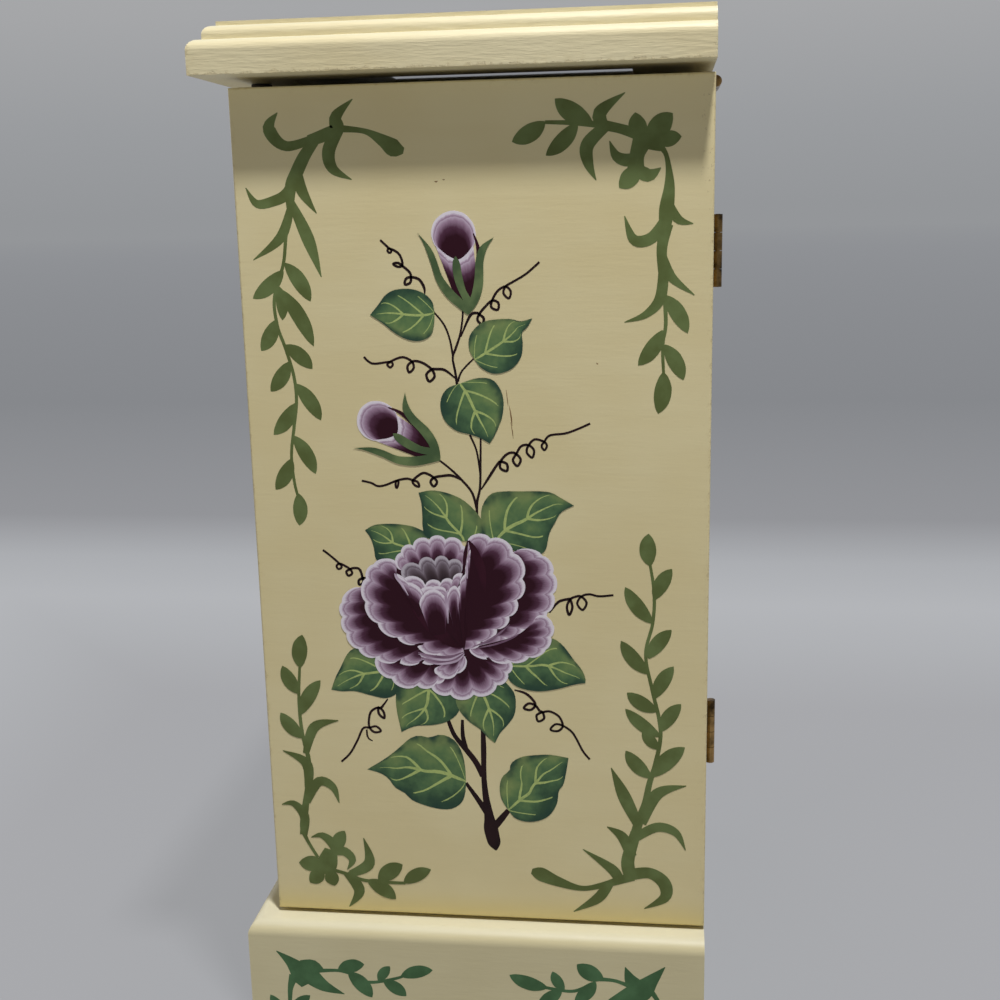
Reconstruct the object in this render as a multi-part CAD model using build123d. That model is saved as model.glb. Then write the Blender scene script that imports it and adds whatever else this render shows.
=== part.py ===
"""Musical jewelry box: a tall painted cabinet on a plinth, with a moulded lift-up lid over a mirror,
two full-height side doors for necklaces, four drawers between them, a wide drawer in the plinth, and
a wind-up musical movement in the top tray with its key at the back.

Units are millimetres. +X is the cabinet's right, -Y its front, +Z up. The origin is the centre of
the felt under the plinth, level with the surface that the box stands on.
"""

from build123d import *
from math import atan2, cos, degrees, pi, radians, sin, sqrt
import os

# Cabinet body
body_width = 230.0
body_depth = 167.0
door_height = 312.0
door_thickness = 10.0
door_bottom_gap = 1.5
door_top_gap = 3.5
edge_round = 0.8
back_thickness = 8.0
partition_thickness = 6.0
pilaster_thickness = 8.0

# Plinth
base_height = 72.0
base_overhang = 10.0
base_board = 10.0
base_edge_radius = 5.0
felt_thickness = 1.5
felt_inset = 4.0

# Lid: a thick board with a double ovolo moulding on three edges and a routed recess for the mirror
lid_overhang = 10.5
lid_band_height = 8.0
lower_ovolo_radius = 3.8
upper_ovolo_radius = 3.3
moulding_ledge = 0.7
moulding_riser = 1.5
lid_rim = 28.0
mirror_recess = 12.0
mirror_thickness = 3.0
mirror_clearance = 0.4
bumper_radius = 4.0
bumper_clearance = 0.1

# Drawers between the partitions
drawer_opening_width = 142.0
drawer_count = 4
shelf_thickness = 5.0
front_gap = 0.8
slide_clearance = 0.3
drawer_front_thickness = 8.0
drawer_side = 4.0
drawer_floor = 3.0
drawer_headroom = 10.0
drawer_back_room = 5.0

# Knobs
knob_radius = 5.5
knob_reach = 13.0
knob_head_length = 8.0
knob_head_round = 3.6
knob_rose_radius = 4.6
knob_rose_thickness = 1.4
knob_neck_radius = 2.3
knob_stem_radius = 1.5
knob_screw_head_radius = 2.8
knob_screw_head = 1.2
base_knob_spacing = 120.0

# Top tray
tray_depth = 42.0
tray_front_thickness = 6.0
lining_thickness = 1.0
ring_roll_count = 6
ring_roll_width = 9.0
ring_roll_height = 16.0
ring_roll_gap = 0.5
ring_roll_parting = 0.15
lining_gap = 0.3

# Hinges: leaves lie in the gap between the two boards, barrels stand behind the back
door_leaf_thickness = 0.7
door_leaf_width = 7.6
door_barrel_radius = 1.6
door_pin_radius = 0.8
door_hinge_from_top = 58.5
door_hinge_from_bottom = 75.5
lid_leaf_thickness = 1.1
lid_leaf_width = 7.6
lid_barrel_radius = 2.15
lid_pin_radius = 1.1
lid_hinge_from_side = 72.5
hinge_length = 25.0
leaf_gap = 0.2
neck_overlap = 0.5
knuckle_count = 4
knuckle_gap = 0.15
barrel_clearance = 0.1
running_clearance = 0.05
screw_shank_radius = 0.9
screw_head_radius = 1.6
screw_length = 6.0
screw_spacing = 15.0

# Door fittings
magnet_radius = 2.8
magnet_length = 6.0
magnet_proud = 0.5
strike_radius = 3.0
strike_thickness = 1.0
strike_height_from_bottom = 156.0
hook_strip_length = 124.0
hook_strip_height = 9.0
hook_strip_thickness = 1.0
hook_strip_from_top = 30.0
hook_count = 6
hook_spacing = 22.0
hook_wire_radius = 0.9
hook_reach = 9.0
hook_rise = 6.0
hook_drop = 2.0
hook_bend = 2.2
hook_tip_radius = 1.17
hook_root = 0.5
hook_strip_corner = 4.0
pocket_width = 128.0
pocket_height = 62.0
pocket_depth = 17.0
pocket_wall = 1.6
pocket_from_bottom = 14.0
pocket_corner = 7.0

# Musical movement, with its plate upright against the cabinet's back
movement_x = -30.0
movement_axis_height = 16.5
plate_thickness = 2.5
plate_left = 29.0
plate_right = 46.0
plate_below = 14.5
plate_above = 22.0
plate_corner = 3.0
plate_screw_inset = 3.6
arbor_offset = 14.0
arbor_radius = 2.4
spring_barrel_radius = 12.5
spring_barrel_depth = 9.0
spring_barrel_round = 1.2
crown_disc_radius = 11.2
crown_disc_thickness = 1.5
crown_gap = 0.6
crown_teeth = 30
crown_tooth_length = 1.5
crown_tooth_root = 0.3
crown_tooth_share = 0.34
crown_pitch_radius = 9.9
crown_face_width = 2.4
pinion_teeth = 8
pinion_root_radius = 1.75
pinion_tip_radius = 3.2
pinion_tip_clearance = 0.25
cylinder_radius = 6.5
cylinder_length = 22.0
cylinder_axle_radius = 1.1
cylinder_start = 1.0
wheel_standoff = 1.0
axle_end = 0.6
lug_radius = 3.0
lug_thickness = 1.5
lug_gap = 0.4
gear_module = 0.42
cylinder_gear_teeth = 32
governor_pinion_teeth = 8
gear_face = 1.8
tooth_height_share = 0.8
root_depth_share = 1.1
worm_wheel_tooth_height = 0.5
worm_wheel_root_share = 0.7
worm_wheel_tip_share = 0.3
spur_root_share = 0.56
spur_tip_share = 0.22
pinion_root_share = 0.46
pinion_tip_share = 0.2
governor_drop = 5.6
governor_wheel_teeth = 28
governor_wheel_radius = 5.0
governor_axle_radius = 0.8
worm_radius = 1.2
worm_length = 8.0
mesh_clearance = 0.2
fan_shaft_radius = 0.6
fan_span = 8.0
fan_clearance = 0.5
fan_turn = 35.0
fan_blade_gap = 0.6
fan_top_room = 2.5
fan_height = 8.0
fan_blade = 0.4
governor_plate = 1.6
governor_room = 0.6
governor_plate_gap = 0.9
governor_arm = 2.2
comb_note_count = 18
comb_pitch = 1.2
comb_slot = 0.4
comb_thickness = 1.0
comb_tooth_length = 9.0
comb_heel = 5.5
comb_tip_clearance = 0.6
comb_bed_rise = 0.5
comb_screw_places = (0.2, 0.8)
comb_screw_length = 8.5
comb_screw_head = 1.2
comb_screw_radius = 1.0
comb_screw_head_radius = 2.0
stop_pin_radius = 0.9
stop_pin_clearance = 0.3
stop_pin_guide_clearance = 0.1
stop_pin_engagement = 4.5
cover_wall = 1.5
cover_edge_round = 1.2
cover_margin = 2.0
cover_depth = 36.0
cover_height = 40.2
plate_screw_radius = 1.2
plate_screw_head_radius = 2.4
plate_screw_head = 1.2
plate_screw_end_gap = 1.5

# Winding key
key_hub_radius = 3.6
key_hub_length = 5.5
key_standoff = 0.6
key_wing_span = 20.0
key_wing_length = 9.0
key_wing_thickness = 2.2
key_wing_round = 4.0
key_wing_overlap = 2.4
key_socket_end = 1.5
key_well_clearance = 1.5

# Places worked out from the sizes above
door_side_gap = 2 * door_leaf_thickness + leaf_gap
lid_gap = 2 * lid_leaf_thickness + leaf_gap
front_y = -body_depth / 2
back_y = body_depth / 2
back_inner_y = back_y - back_thickness
door_outer_x = body_width / 2
door_inner_x = door_outer_x - door_thickness
carcass_x = door_inner_x - door_side_gap
opening_x = drawer_opening_width / 2
partition_outer_x = opening_x + partition_thickness
base_x = door_outer_x + base_overhang
base_front_y = front_y - base_overhang
base_board_z = base_height - base_board
door_bottom_z = base_height + door_bottom_gap
door_top_z = door_bottom_z + door_height
lid_z = door_top_z + door_top_gap
carcass_top_z = lid_z - lid_gap
tray_floor_z = carcass_top_z - tray_depth
drawer_zone_top = tray_floor_z - shelf_thickness
drawer_pitch = (drawer_zone_top - base_height + shelf_thickness) / drawer_count
drawer_opening_height = drawer_pitch - shelf_thickness
base_floor_z = felt_thickness + base_board
base_opening_height = base_board_z - base_floor_z
lid_x = door_outer_x + lid_overhang
lid_front_y = front_y - lid_overhang
lower_ledge_z = lid_band_height + lower_ovolo_radius
upper_ovolo_z = lower_ledge_z + moulding_riser
upper_ledge_z = upper_ovolo_z + upper_ovolo_radius
lid_thickness = upper_ledge_z + moulding_riser

door_axis_x = carcass_x + door_side_gap / 2
door_axis_y = back_y + door_barrel_radius + barrel_clearance
lid_axis_y = back_y + lid_barrel_radius + barrel_clearance
lid_axis_z = carcass_top_z + lid_gap / 2
door_hinge_zs = [door_bottom_z + door_hinge_from_bottom, door_top_z - door_hinge_from_top]
lid_hinge_xs = [-(door_outer_x - lid_hinge_from_side), door_outer_x - lid_hinge_from_side]
strike_z = door_bottom_z + strike_height_from_bottom

plate_front_y = back_inner_y - plate_thickness
movement_z = tray_floor_z + movement_axis_height
arbor_x = movement_x - arbor_offset
barrel_front_y = plate_front_y - spring_barrel_depth
crown_back_y = barrel_front_y - crown_gap
crown_face_y = crown_back_y - crown_disc_thickness
cylinder_y = crown_face_y - pinion_tip_clearance - pinion_tip_radius
cylinder_start_x = movement_x + cylinder_start
cylinder_end_x = cylinder_start_x + cylinder_length
gear_start_x = cylinder_end_x + wheel_standoff
gear_end_x = gear_start_x + gear_face
gear_centres = gear_module * (cylinder_gear_teeth + governor_pinion_teeth) / 2
governor_z = movement_z - governor_drop
governor_y = cylinder_y + sqrt(gear_centres**2 - governor_drop**2)
governor_plate_x = gear_end_x + governor_plate_gap
fan_x = governor_plate_x + governor_plate + axle_end + fan_clearance + fan_span / 2
wheel_start_x = fan_x - gear_face / 2
fan_y = governor_y - governor_wheel_radius - mesh_clearance - worm_radius
fan_bottom_z = governor_z - governor_wheel_radius - governor_room - governor_plate
fan_top_z = governor_z + worm_length / 2 + fan_height + fan_top_room
flange_bottom_z = fan_bottom_z
flange_top_z = fan_top_z - governor_plate
flange_end_x = fan_x + fan_span / 2
stop_pin_x = fan_x
stop_pin_y = fan_y + fan_span / 2 + fan_clearance + stop_pin_radius
cover_left_x = movement_x - plate_left - cover_margin
cover_right_x = movement_x + plate_right + cover_margin
cover_front_y = back_inner_y - cover_depth
cover_top_z = tray_floor_z + cover_height
rolls_front_y = front_y + tray_front_thickness
rolls_back_y = rolls_front_y + ring_roll_count * ring_roll_width + 2 * ring_roll_gap


def block(x_range, y_range, z_range):
    """A board between two places on each axis."""
    lows = [min(r) for r in (x_range, y_range, z_range)]
    highs = [max(r) for r in (x_range, y_range, z_range)]
    sizes = [high - low for low, high in zip(lows, highs)]
    middle = [(high + low) / 2 for low, high in zip(lows, highs)]
    return Pos(*middle) * Box(*sizes)


def rod_x(radius, x_range, y, z):
    """A round bar along X."""
    low, high = min(x_range), max(x_range)
    return Pos((low + high) / 2, y, z) * Rot(0, 90, 0) * Cylinder(radius, high - low)


def rod_y(radius, x, y_range, z):
    """A round bar along Y."""
    low, high = min(y_range), max(y_range)
    return Pos(x, (low + high) / 2, z) * Rot(90, 0, 0) * Cylinder(radius, high - low)


def rod_z(radius, x, y, z_range):
    """A round bar along Z."""
    low, high = min(z_range), max(z_range)
    return Pos(x, y, (low + high) / 2) * Cylinder(radius, high - low)


def both_sides(shape):
    """The same piece on the cabinet's right and left, as two solids."""
    return [shape, mirror(shape, about=Plane.YZ)]


def mirrored_too(pieces):
    """Pieces of the cabinet's right side and their twins on the left."""
    return [twin for piece in pieces for twin in both_sides(piece)]


def write(name, pieces):
    """Writes one node, made of one or more separate solids."""
    solids = []
    for piece in pieces if isinstance(pieces, list) else [pieces]:
        solids += piece.solids()
    export_step(solids[0] if len(solids) == 1 else Compound(children=solids), f"parts/{name}.step")


def screw(head_thickness):
    """A countersunk screw along +X, its flat head at X = 0."""
    head = Pos(head_thickness / 2, 0, 0) * Rot(0, 90, 0) * Cone(
        screw_head_radius, screw_shank_radius, head_thickness
    )
    return head + rod_x(screw_shank_radius, (head_thickness, head_thickness + screw_length), 0, 0)


def screw_sink(head_thickness):
    """What a screw's leaf and board lose, along +X from the leaf's outer face."""
    room = running_clearance
    head = Pos(head_thickness / 2, 0, 0) * Rot(0, 90, 0) * Cone(
        screw_head_radius + room, screw_shank_radius + room, head_thickness
    )
    reach = head_thickness + screw_length + room
    return head + rod_x(screw_shank_radius + room, (0, reach), 0, 0)


def outline(lines):
    """The face inside a closed run of lines."""
    return make_face([edge for line in lines for edge in line.edges()])


class Hinge:
    """A butt hinge about the local Z axis. The fixed leaf is on -X, the moving one on +X, and both
    run towards -Y from the barrel."""

    def __init__(self, barrel_radius, pin_radius, leaf_thickness, leaf_width):
        self.barrel_radius = barrel_radius
        self.pin_radius = pin_radius
        self.leaf_thickness = leaf_thickness
        self.leaf_start = barrel_radius + barrel_clearance
        self.leaf_end = self.leaf_start + leaf_width
        self.screw_y = -(self.leaf_start + leaf_width / 2)
        self.screw_zs = [-screw_spacing / 2, screw_spacing / 2]
        self.pitch = hinge_length / knuckle_count

    def leaf(self, side):
        """One leaf with its knuckles: side -1 is fixed and takes the odd knuckles, +1 moves."""
        inner = side * leaf_gap / 2
        outer = side * (leaf_gap / 2 + self.leaf_thickness)
        half = hinge_length / 2
        plate = block((inner, outer), (-self.leaf_end, -self.leaf_start), (-half, half))
        for index in range(knuckle_count):
            if index % 2 != (0 if side < 0 else 1):
                continue
            low = -half + index * self.pitch + knuckle_gap / 2
            high = low + self.pitch - knuckle_gap
            neck = block((inner, outer), (-self.leaf_start - neck_overlap, 0), (low, high))
            plate += neck + rod_z(self.barrel_radius, 0, 0, (low, high))
        plate -= rod_z(self.pin_radius + running_clearance, 0, 0, (-half, half))
        for z in self.screw_zs:
            plate -= self.placed_on_leaf(screw_sink(self.leaf_thickness), side, z)
        return plate

    def placed_on_leaf(self, shape, side, z):
        """A shape along +X, set on a leaf's screw place and pointing out of the hinge."""
        turned = shape if side > 0 else Rot(0, 0, 180) * shape
        return Pos(side * leaf_gap / 2, self.screw_y, z) * turned

    def pin(self):
        """The pin, peened flush with the barrel's ends."""
        half = hinge_length / 2
        return rod_z(self.pin_radius, 0, 0, (-half, half))

    def screws(self, side):
        """The leaf's two screws."""
        return [self.placed_on_leaf(screw(self.leaf_thickness), side, z) for z in self.screw_zs]

    def sinks(self, side):
        """The holes that the screws need in the board behind the leaf."""
        return [self.placed_on_leaf(screw_sink(self.leaf_thickness), side, z) for z in self.screw_zs]


door_hinge = Hinge(door_barrel_radius, door_pin_radius, door_leaf_thickness, door_leaf_width)
lid_hinge = Hinge(lid_barrel_radius, lid_pin_radius, lid_leaf_thickness, lid_leaf_width)


def at_door(shape, z):
    """A hinge piece at the right door's axis."""
    return Pos(door_axis_x, door_axis_y, z) * shape


def at_lid(shape, x):
    """A hinge piece at the lid's axis: the moving leaf on top."""
    return Pos(x, lid_axis_y, lid_axis_z) * Rot(0, -90, 0) * shape


def rounded(board, radius, faces):
    """A board with the edges round the named faces eased."""
    edges = []
    for axis, last in faces:
        face = board.faces().sort_by(axis)[-1 if last else 0]
        edges += [edge for edge in face.edges() if edge not in edges]
    return fillet(edges, radius)


def make_base():
    """The plinth: side, bottom, back and top boards, with felt underneath."""
    side = block((base_x - base_board, base_x), (base_front_y, back_y), (felt_thickness, base_board_z))
    inner = base_x - base_board
    bottom = block((-inner, inner), (base_front_y, back_y), (felt_thickness, base_floor_z))
    back = block((-inner, inner), (back_inner_y, back_y), (base_floor_z, base_board_z))
    top = block((-base_x, base_x), (base_front_y, back_y), (base_board_z, base_height))
    rim = top.faces().sort_by(Axis.Z)[-1].edges()
    top = fillet([e for e in rim if e.center().Y < back_y - 1], base_edge_radius)
    felt = block(
        (-base_x + felt_inset, base_x - felt_inset),
        (base_front_y + felt_inset, back_y - felt_inset),
        (0, felt_thickness),
    )
    write("base_sides", both_sides(side))
    write("base_bottom", bottom)
    write("base_back", back)
    write("base_top", top)
    write("base_felt", felt)


def make_carcass():
    """The fixed cabinet between the doors."""
    height = (base_height, carcass_top_z)
    back = block((-carcass_x, carcass_x), (back_inner_y, back_y), height)
    back -= rod_y(key_wing_span / 2 + key_well_clearance, arbor_x, (back_inner_y, back_y), movement_z)
    for sink in plate_screw_places():
        back -= rod_y(plate_screw_radius + running_clearance, sink[0], (back_inner_y, back_y), sink[1])
    for z in door_hinge_zs:
        for sink in door_hinge.sinks(-1):
            placed = at_door(sink, z)
            back -= placed
            back -= mirror(placed, about=Plane.YZ)
    for x in lid_hinge_xs:
        for sink in lid_hinge.sinks(-1):
            back -= at_lid(sink, x)
    partition = block((opening_x, partition_outer_x), (front_y + pilaster_thickness, back_inner_y), height)
    pilaster = block((opening_x, carcass_x), (front_y, front_y + pilaster_thickness), height)
    pilaster = rounded(pilaster, edge_round / 2, [(Axis.Y, False)])
    pilaster -= rod_x(
        magnet_radius + running_clearance,
        (carcass_x - magnet_length + magnet_proud, carcass_x),
        front_y + pilaster_thickness / 2,
        strike_z,
    )
    shelves = []
    for index in range(1, drawer_count):
        low = base_height + index * drawer_pitch - shelf_thickness
        shelves.append(block((-opening_x, opening_x), (front_y, back_inner_y), (low, low + shelf_thickness)))
    floor = block((-opening_x, opening_x), (front_y, back_inner_y), (drawer_zone_top, tray_floor_z))
    tray_front = block(
        (-opening_x, opening_x), (front_y, front_y + tray_front_thickness), (tray_floor_z, carcass_top_z)
    )
    write("back_panel", back)
    write("partitions", both_sides(partition))
    write("pilasters", both_sides(pilaster))
    write("drawer_shelves", shelves)
    write("tray_floor", floor)
    write("tray_front", rounded(tray_front, edge_round / 2, [(Axis.Y, False)]))
    magnet = rod_x(
        magnet_radius,
        (carcass_x - magnet_length + magnet_proud, carcass_x + magnet_proud),
        front_y + pilaster_thickness / 2,
        strike_z,
    )
    write("catch_magnets", both_sides(magnet))
    bumper = rod_z(
        bumper_radius,
        (opening_x + carcass_x) / 2,
        front_y + pilaster_thickness / 2 - edge_round / 4,
        (carcass_top_z, lid_z - bumper_clearance),
    )
    write("lid_bumpers", both_sides(bumper & block(
        (opening_x, carcass_x), (front_y + edge_round, front_y + pilaster_thickness), (carcass_top_z, lid_z)
    )))


def make_tray_lining():
    """The felt on the tray's floor and the padded rolls that hold rings."""
    lining = (tray_floor_z, tray_floor_z + lining_thickness)
    felt = block((-opening_x, opening_x), (rolls_back_y, back_inner_y), lining)
    felt -= block(
        (cover_left_x - lining_gap, cover_right_x + lining_gap),
        (cover_front_y - lining_gap, back_inner_y),
        lining,
    )
    write("tray_lining", felt)
    crown = ring_roll_width / 2 - ring_roll_parting
    channel = ring_roll_height / 2
    across = (-opening_x + ring_roll_gap, opening_x - ring_roll_gap)
    bed = block(
        across,
        (rolls_front_y + ring_roll_gap, rolls_back_y - ring_roll_gap),
        (tray_floor_z, tray_floor_z + channel),
    )
    for index in range(ring_roll_count):
        y = rolls_front_y + ring_roll_gap + (index + 0.5) * ring_roll_width
        top_z = tray_floor_z + ring_roll_height - crown
        bed += block(across, (y - crown, y + crown), (tray_floor_z + channel, top_z))
        bed += rod_x(crown, across, y, top_z)
    write("ring_rolls", bed)


def lid_outline(half_width):
    """The moulded edge from the underside up, going inwards from a distance of half_width."""
    lower_in = half_width - lower_ovolo_radius
    step_in = lower_in - moulding_ledge
    upper_in = step_in - upper_ovolo_radius
    top_in = upper_in - moulding_ledge
    turn = sqrt(0.5)
    return [
        Line((half_width, 0), (half_width, lid_band_height)),
        ThreePointArc(
            (half_width, lid_band_height),
            (lower_in + lower_ovolo_radius * turn, lid_band_height + lower_ovolo_radius * turn),
            (lower_in, lower_ledge_z),
        ),
        Line((lower_in, lower_ledge_z), (step_in, lower_ledge_z)),
        Line((step_in, lower_ledge_z), (step_in, upper_ovolo_z)),
        ThreePointArc(
            (step_in, upper_ovolo_z),
            (upper_in + upper_ovolo_radius * turn, upper_ovolo_z + upper_ovolo_radius * turn),
            (upper_in, upper_ledge_z),
        ),
        Line((upper_in, upper_ledge_z), (top_in, upper_ledge_z)),
        Line((top_in, upper_ledge_z), (top_in, lid_thickness)),
    ], top_in


def make_lid():
    """The lid board, its mirror and its bumper-high gap to the cabinet."""
    right, top_in = lid_outline(lid_x)
    left = [mirror(line, about=Plane.YZ) for line in right]
    across = outline(right + left + [
        Line((-top_in, lid_thickness), (top_in, lid_thickness)),
        Line((-lid_x, 0), (lid_x, 0)),
    ])
    depth = back_y - lid_front_y
    along_y = extrude(Plane((0, back_y, lid_z), x_dir=(1, 0, 0), z_dir=(0, -1, 0)) * across, depth)
    front, top_front = lid_outline(-lid_front_y)
    side = outline(front + [
        Line((top_front, lid_thickness), (-back_y, lid_thickness)),
        Line((-back_y, lid_thickness), (-back_y, 0)),
        Line((-back_y, 0), (-lid_front_y, 0)),
    ])
    along_x = extrude(
        Plane((-lid_x, 0, lid_z), x_dir=(0, -1, 0), z_dir=(-1, 0, 0)) * side, -2 * lid_x
    )
    board = along_y & along_x
    recess_x = lid_x - lid_rim
    recess_front = lid_front_y + lid_rim
    recess_back = back_y - lid_rim
    board -= block((-recess_x, recess_x), (recess_front, recess_back), (lid_z, lid_z + mirror_recess))
    for x in lid_hinge_xs:
        for sink in lid_hinge.sinks(1):
            board -= at_lid(sink, x)
    glass = block(
        (-recess_x + mirror_clearance, recess_x - mirror_clearance),
        (recess_front + mirror_clearance, recess_back - mirror_clearance),
        (lid_z + mirror_recess - mirror_thickness, lid_z + mirror_recess),
    )
    write("lid_board", board)
    write("lid_mirror", glass)


def make_hinges():
    """Leaves, pins and screws of the four door hinges and the two lid hinges."""
    fixed, pins, cabinet_screws, moving, door_screws = [], [], [], [], []
    for z in door_hinge_zs:
        fixed.append(at_door(door_hinge.leaf(-1), z))
        moving.append(at_door(door_hinge.leaf(1), z))
        pins.append(at_door(door_hinge.pin(), z))
        cabinet_screws += [at_door(s, z) for s in door_hinge.screws(-1)]
        door_screws += [at_door(s, z) for s in door_hinge.screws(1)]
    lid_fixed, lid_moving, lid_pins, lid_screws, lid_fixed_screws = [], [], [], [], []
    for x in lid_hinge_xs:
        lid_fixed.append(at_lid(lid_hinge.leaf(-1), x))
        lid_moving.append(at_lid(lid_hinge.leaf(1), x))
        lid_pins.append(at_lid(lid_hinge.pin(), x))
        lid_fixed_screws += [at_lid(s, x) for s in lid_hinge.screws(-1)]
        lid_screws += [at_lid(s, x) for s in lid_hinge.screws(1)]
    strike = rod_x(
        strike_radius,
        (door_inner_x, door_inner_x + strike_thickness),
        front_y + pilaster_thickness / 2,
        strike_z,
    )
    plate_screws = []
    for x, z in plate_screw_places():
        head = rod_y(plate_screw_head_radius, x, (plate_front_y - plate_screw_head, plate_front_y), z)
        shank = rod_y(plate_screw_radius, x, (plate_front_y, back_y - plate_screw_end_gap), z)
        plate_screws.append(head + shank)
    write("door_hinge_fixed_leaves", mirrored_too(fixed))
    write("lid_hinge_fixed_leaves", lid_fixed)
    write("hinge_pins", mirrored_too(pins) + lid_pins)
    write("cabinet_screws", mirrored_too(cabinet_screws) + lid_fixed_screws + plate_screws)
    write("lid_hinge_leaves", lid_moving)
    write("lid_screws", lid_screws)
    write("right_door_hinge_leaves", moving)
    write("right_door_fasteners", door_screws + [strike])
    write("left_door_hinge_leaves", [mirror(m, about=Plane.YZ) for m in moving])
    write("left_door_fasteners", [mirror(m, about=Plane.YZ) for m in door_screws + [strike]])


def door_panel():
    """The right door's board, drilled for its screws and its strike."""
    panel = block((door_inner_x, door_outer_x), (front_y, back_y), (door_bottom_z, door_top_z))
    panel = rounded(panel, edge_round, [(Axis.X, True)])
    for z in door_hinge_zs:
        for sink in door_hinge.sinks(1):
            panel -= at_door(sink, z)
    panel -= rod_x(
        strike_radius + running_clearance,
        (door_inner_x, door_inner_x + strike_thickness),
        front_y + pilaster_thickness / 2,
        strike_z,
    )
    return panel


def hook_strip():
    """The brass strip of necklace hooks on the inside of the right door."""
    top = door_top_z - hook_strip_from_top
    face = door_inner_x - hook_strip_thickness
    strip = block(
        (face, door_inner_x),
        (-hook_strip_length / 2, hook_strip_length / 2),
        (top - hook_strip_height, top),
    )
    strip = fillet(strip.edges().filter_by(Axis.X), hook_strip_corner)
    for index in range(hook_count):
        y = (index - (hook_count - 1) / 2) * hook_spacing
        start = top - hook_strip_height / 2
        route = FilletPolyline(
            (face + hook_root, y, start),
            (face - hook_reach, y, start - hook_drop),
            (face - hook_reach, y, start - hook_drop + hook_rise),
            radius=hook_bend,
        )
        wire = sweep(Plane(origin=route @ 0, z_dir=route % 0) * Circle(hook_wire_radius), path=route)
        tip = Pos(face - hook_reach, y, start - hook_drop + hook_rise) * Sphere(hook_tip_radius)
        strip += wire + tip
    return strip


def door_pocket():
    """The fabric pocket low on the inside of the right door, open at its top."""
    low = door_bottom_z + pocket_from_bottom
    outer = block(
        (door_inner_x - pocket_depth, door_inner_x),
        (-pocket_width / 2, pocket_width / 2),
        (low, low + pocket_height),
    )
    front = outer.faces().sort_by(Axis.X)[0]
    rim = [e for e in front.edges() if e.center().Z < low + pocket_height - 1]
    outer = fillet(rim, pocket_corner)
    inner = block(
        (door_inner_x - pocket_depth + pocket_wall, door_inner_x - pocket_wall),
        (-pocket_width / 2 + pocket_wall, pocket_width / 2 - pocket_wall),
        (low + pocket_wall, low + pocket_height + 1),
    )
    inner_front = inner.faces().sort_by(Axis.X)[0]
    inner_rim = [e for e in inner_front.edges() if e.center().Z < low + pocket_height - 1]
    inner = fillet(inner_rim, pocket_corner - pocket_wall)
    return outer - inner


def make_doors():
    """Both side doors with their hook strips and pockets."""
    for name, piece in (
        ("door_panel", door_panel()),
        ("hook_strip", hook_strip()),
        ("pocket", door_pocket()),
    ):
        write(f"right_{name}", piece)
        write(f"left_{name}", mirror(piece, about=Plane.YZ))


def knob(x, face_y, z):
    """A turned brass knob with the screw that holds it through a front."""
    head_y = face_y - knob_reach
    head = rod_y(knob_radius, x, (head_y, head_y + knob_head_length), z)
    head = fillet(head.edges().filter_by(GeomType.CIRCLE), knob_head_round)
    neck = rod_y(knob_neck_radius, x, (head_y + knob_head_length / 2, face_y), z)
    rose = rod_y(knob_rose_radius, x, (face_y - knob_rose_thickness, face_y), z)
    back = face_y + drawer_front_thickness
    stem = rod_y(knob_stem_radius, x, (face_y, back), z)
    screw_head = rod_y(knob_screw_head_radius, x, (back, back + knob_screw_head), z)
    return head + neck + rose + stem + screw_head


def make_drawer(name, half_opening, face_y, floor_z, opening_height, knob_xs):
    """An inset drawer: its front, its box of four boards, and its knob or knobs."""
    half_front = half_opening - front_gap
    front = block(
        (-half_front, half_front),
        (face_y, face_y + drawer_front_thickness),
        (floor_z + front_gap, floor_z + opening_height - front_gap),
    )
    front = rounded(front, edge_round, [(Axis.Y, False)])
    knob_z = floor_z + opening_height / 2
    for x in knob_xs:
        front -= rod_y(
            knob_stem_radius + running_clearance, x, (face_y, face_y + drawer_front_thickness), knob_z
        )
    box_front = face_y + drawer_front_thickness
    box_back = back_inner_y - drawer_back_room
    low = floor_z + slide_clearance
    low_front = floor_z + front_gap
    high = floor_z + opening_height - drawer_headroom
    side = block((half_front - drawer_side, half_front), (box_front, box_back), (low, high))
    inner = half_front - drawer_side
    rear = block((-inner, inner), (box_back - drawer_side, box_back), (low, high))
    floor = block((-inner, inner), (box_front, box_back - drawer_side), (low, low + drawer_floor))
    write(f"{name}_front", front)
    write(f"{name}_box", both_sides(side) + [rear, floor])
    write(f"{name}_knob", [knob(x, face_y, knob_z) for x in knob_xs])


def make_drawers():
    """Four drawers between the partitions, numbered from the top, and the wide one in the plinth."""
    for index in range(drawer_count):
        floor = base_height + (drawer_count - 1 - index) * drawer_pitch
        make_drawer(f"drawer_{index + 1}", opening_x, front_y, floor, drawer_opening_height, [0])
    make_drawer(
        "base_drawer",
        base_x - base_board,
        base_front_y,
        base_floor_z,
        base_opening_height,
        [-base_knob_spacing / 2, base_knob_spacing / 2],
    )


def plate_screw_places():
    """Where the three screws hold the movement's plate to the back, as (x, z)."""
    inset = plate_screw_inset
    high = movement_z + plate_above - inset
    low = movement_z - plate_below + inset
    return [
        (movement_x - plate_left + inset, high),
        (movement_x + plate_right - inset, high),
        (movement_x + plate_right - inset, low),
    ]


def toothed_disc(teeth, root_radius, tip_radius, root_share, tip_share, thickness, turn=0.0):
    """A spur wheel about Z, from Z = 0 up, its teeth straight-sided."""
    pitch = 2 * pi / teeth
    points = []
    for index in range(teeth):
        middle = index * pitch + radians(turn)
        tooth = (
            (root_radius, -root_share),
            (tip_radius, -tip_share),
            (tip_radius, tip_share),
            (root_radius, root_share),
        )
        for radius, share in tooth:
            angle = middle + share * pitch / 2
            points.append((radius * cos(angle), radius * sin(angle)))
    return extrude(Face(Wire.make_polygon(points)), thickness)


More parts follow.
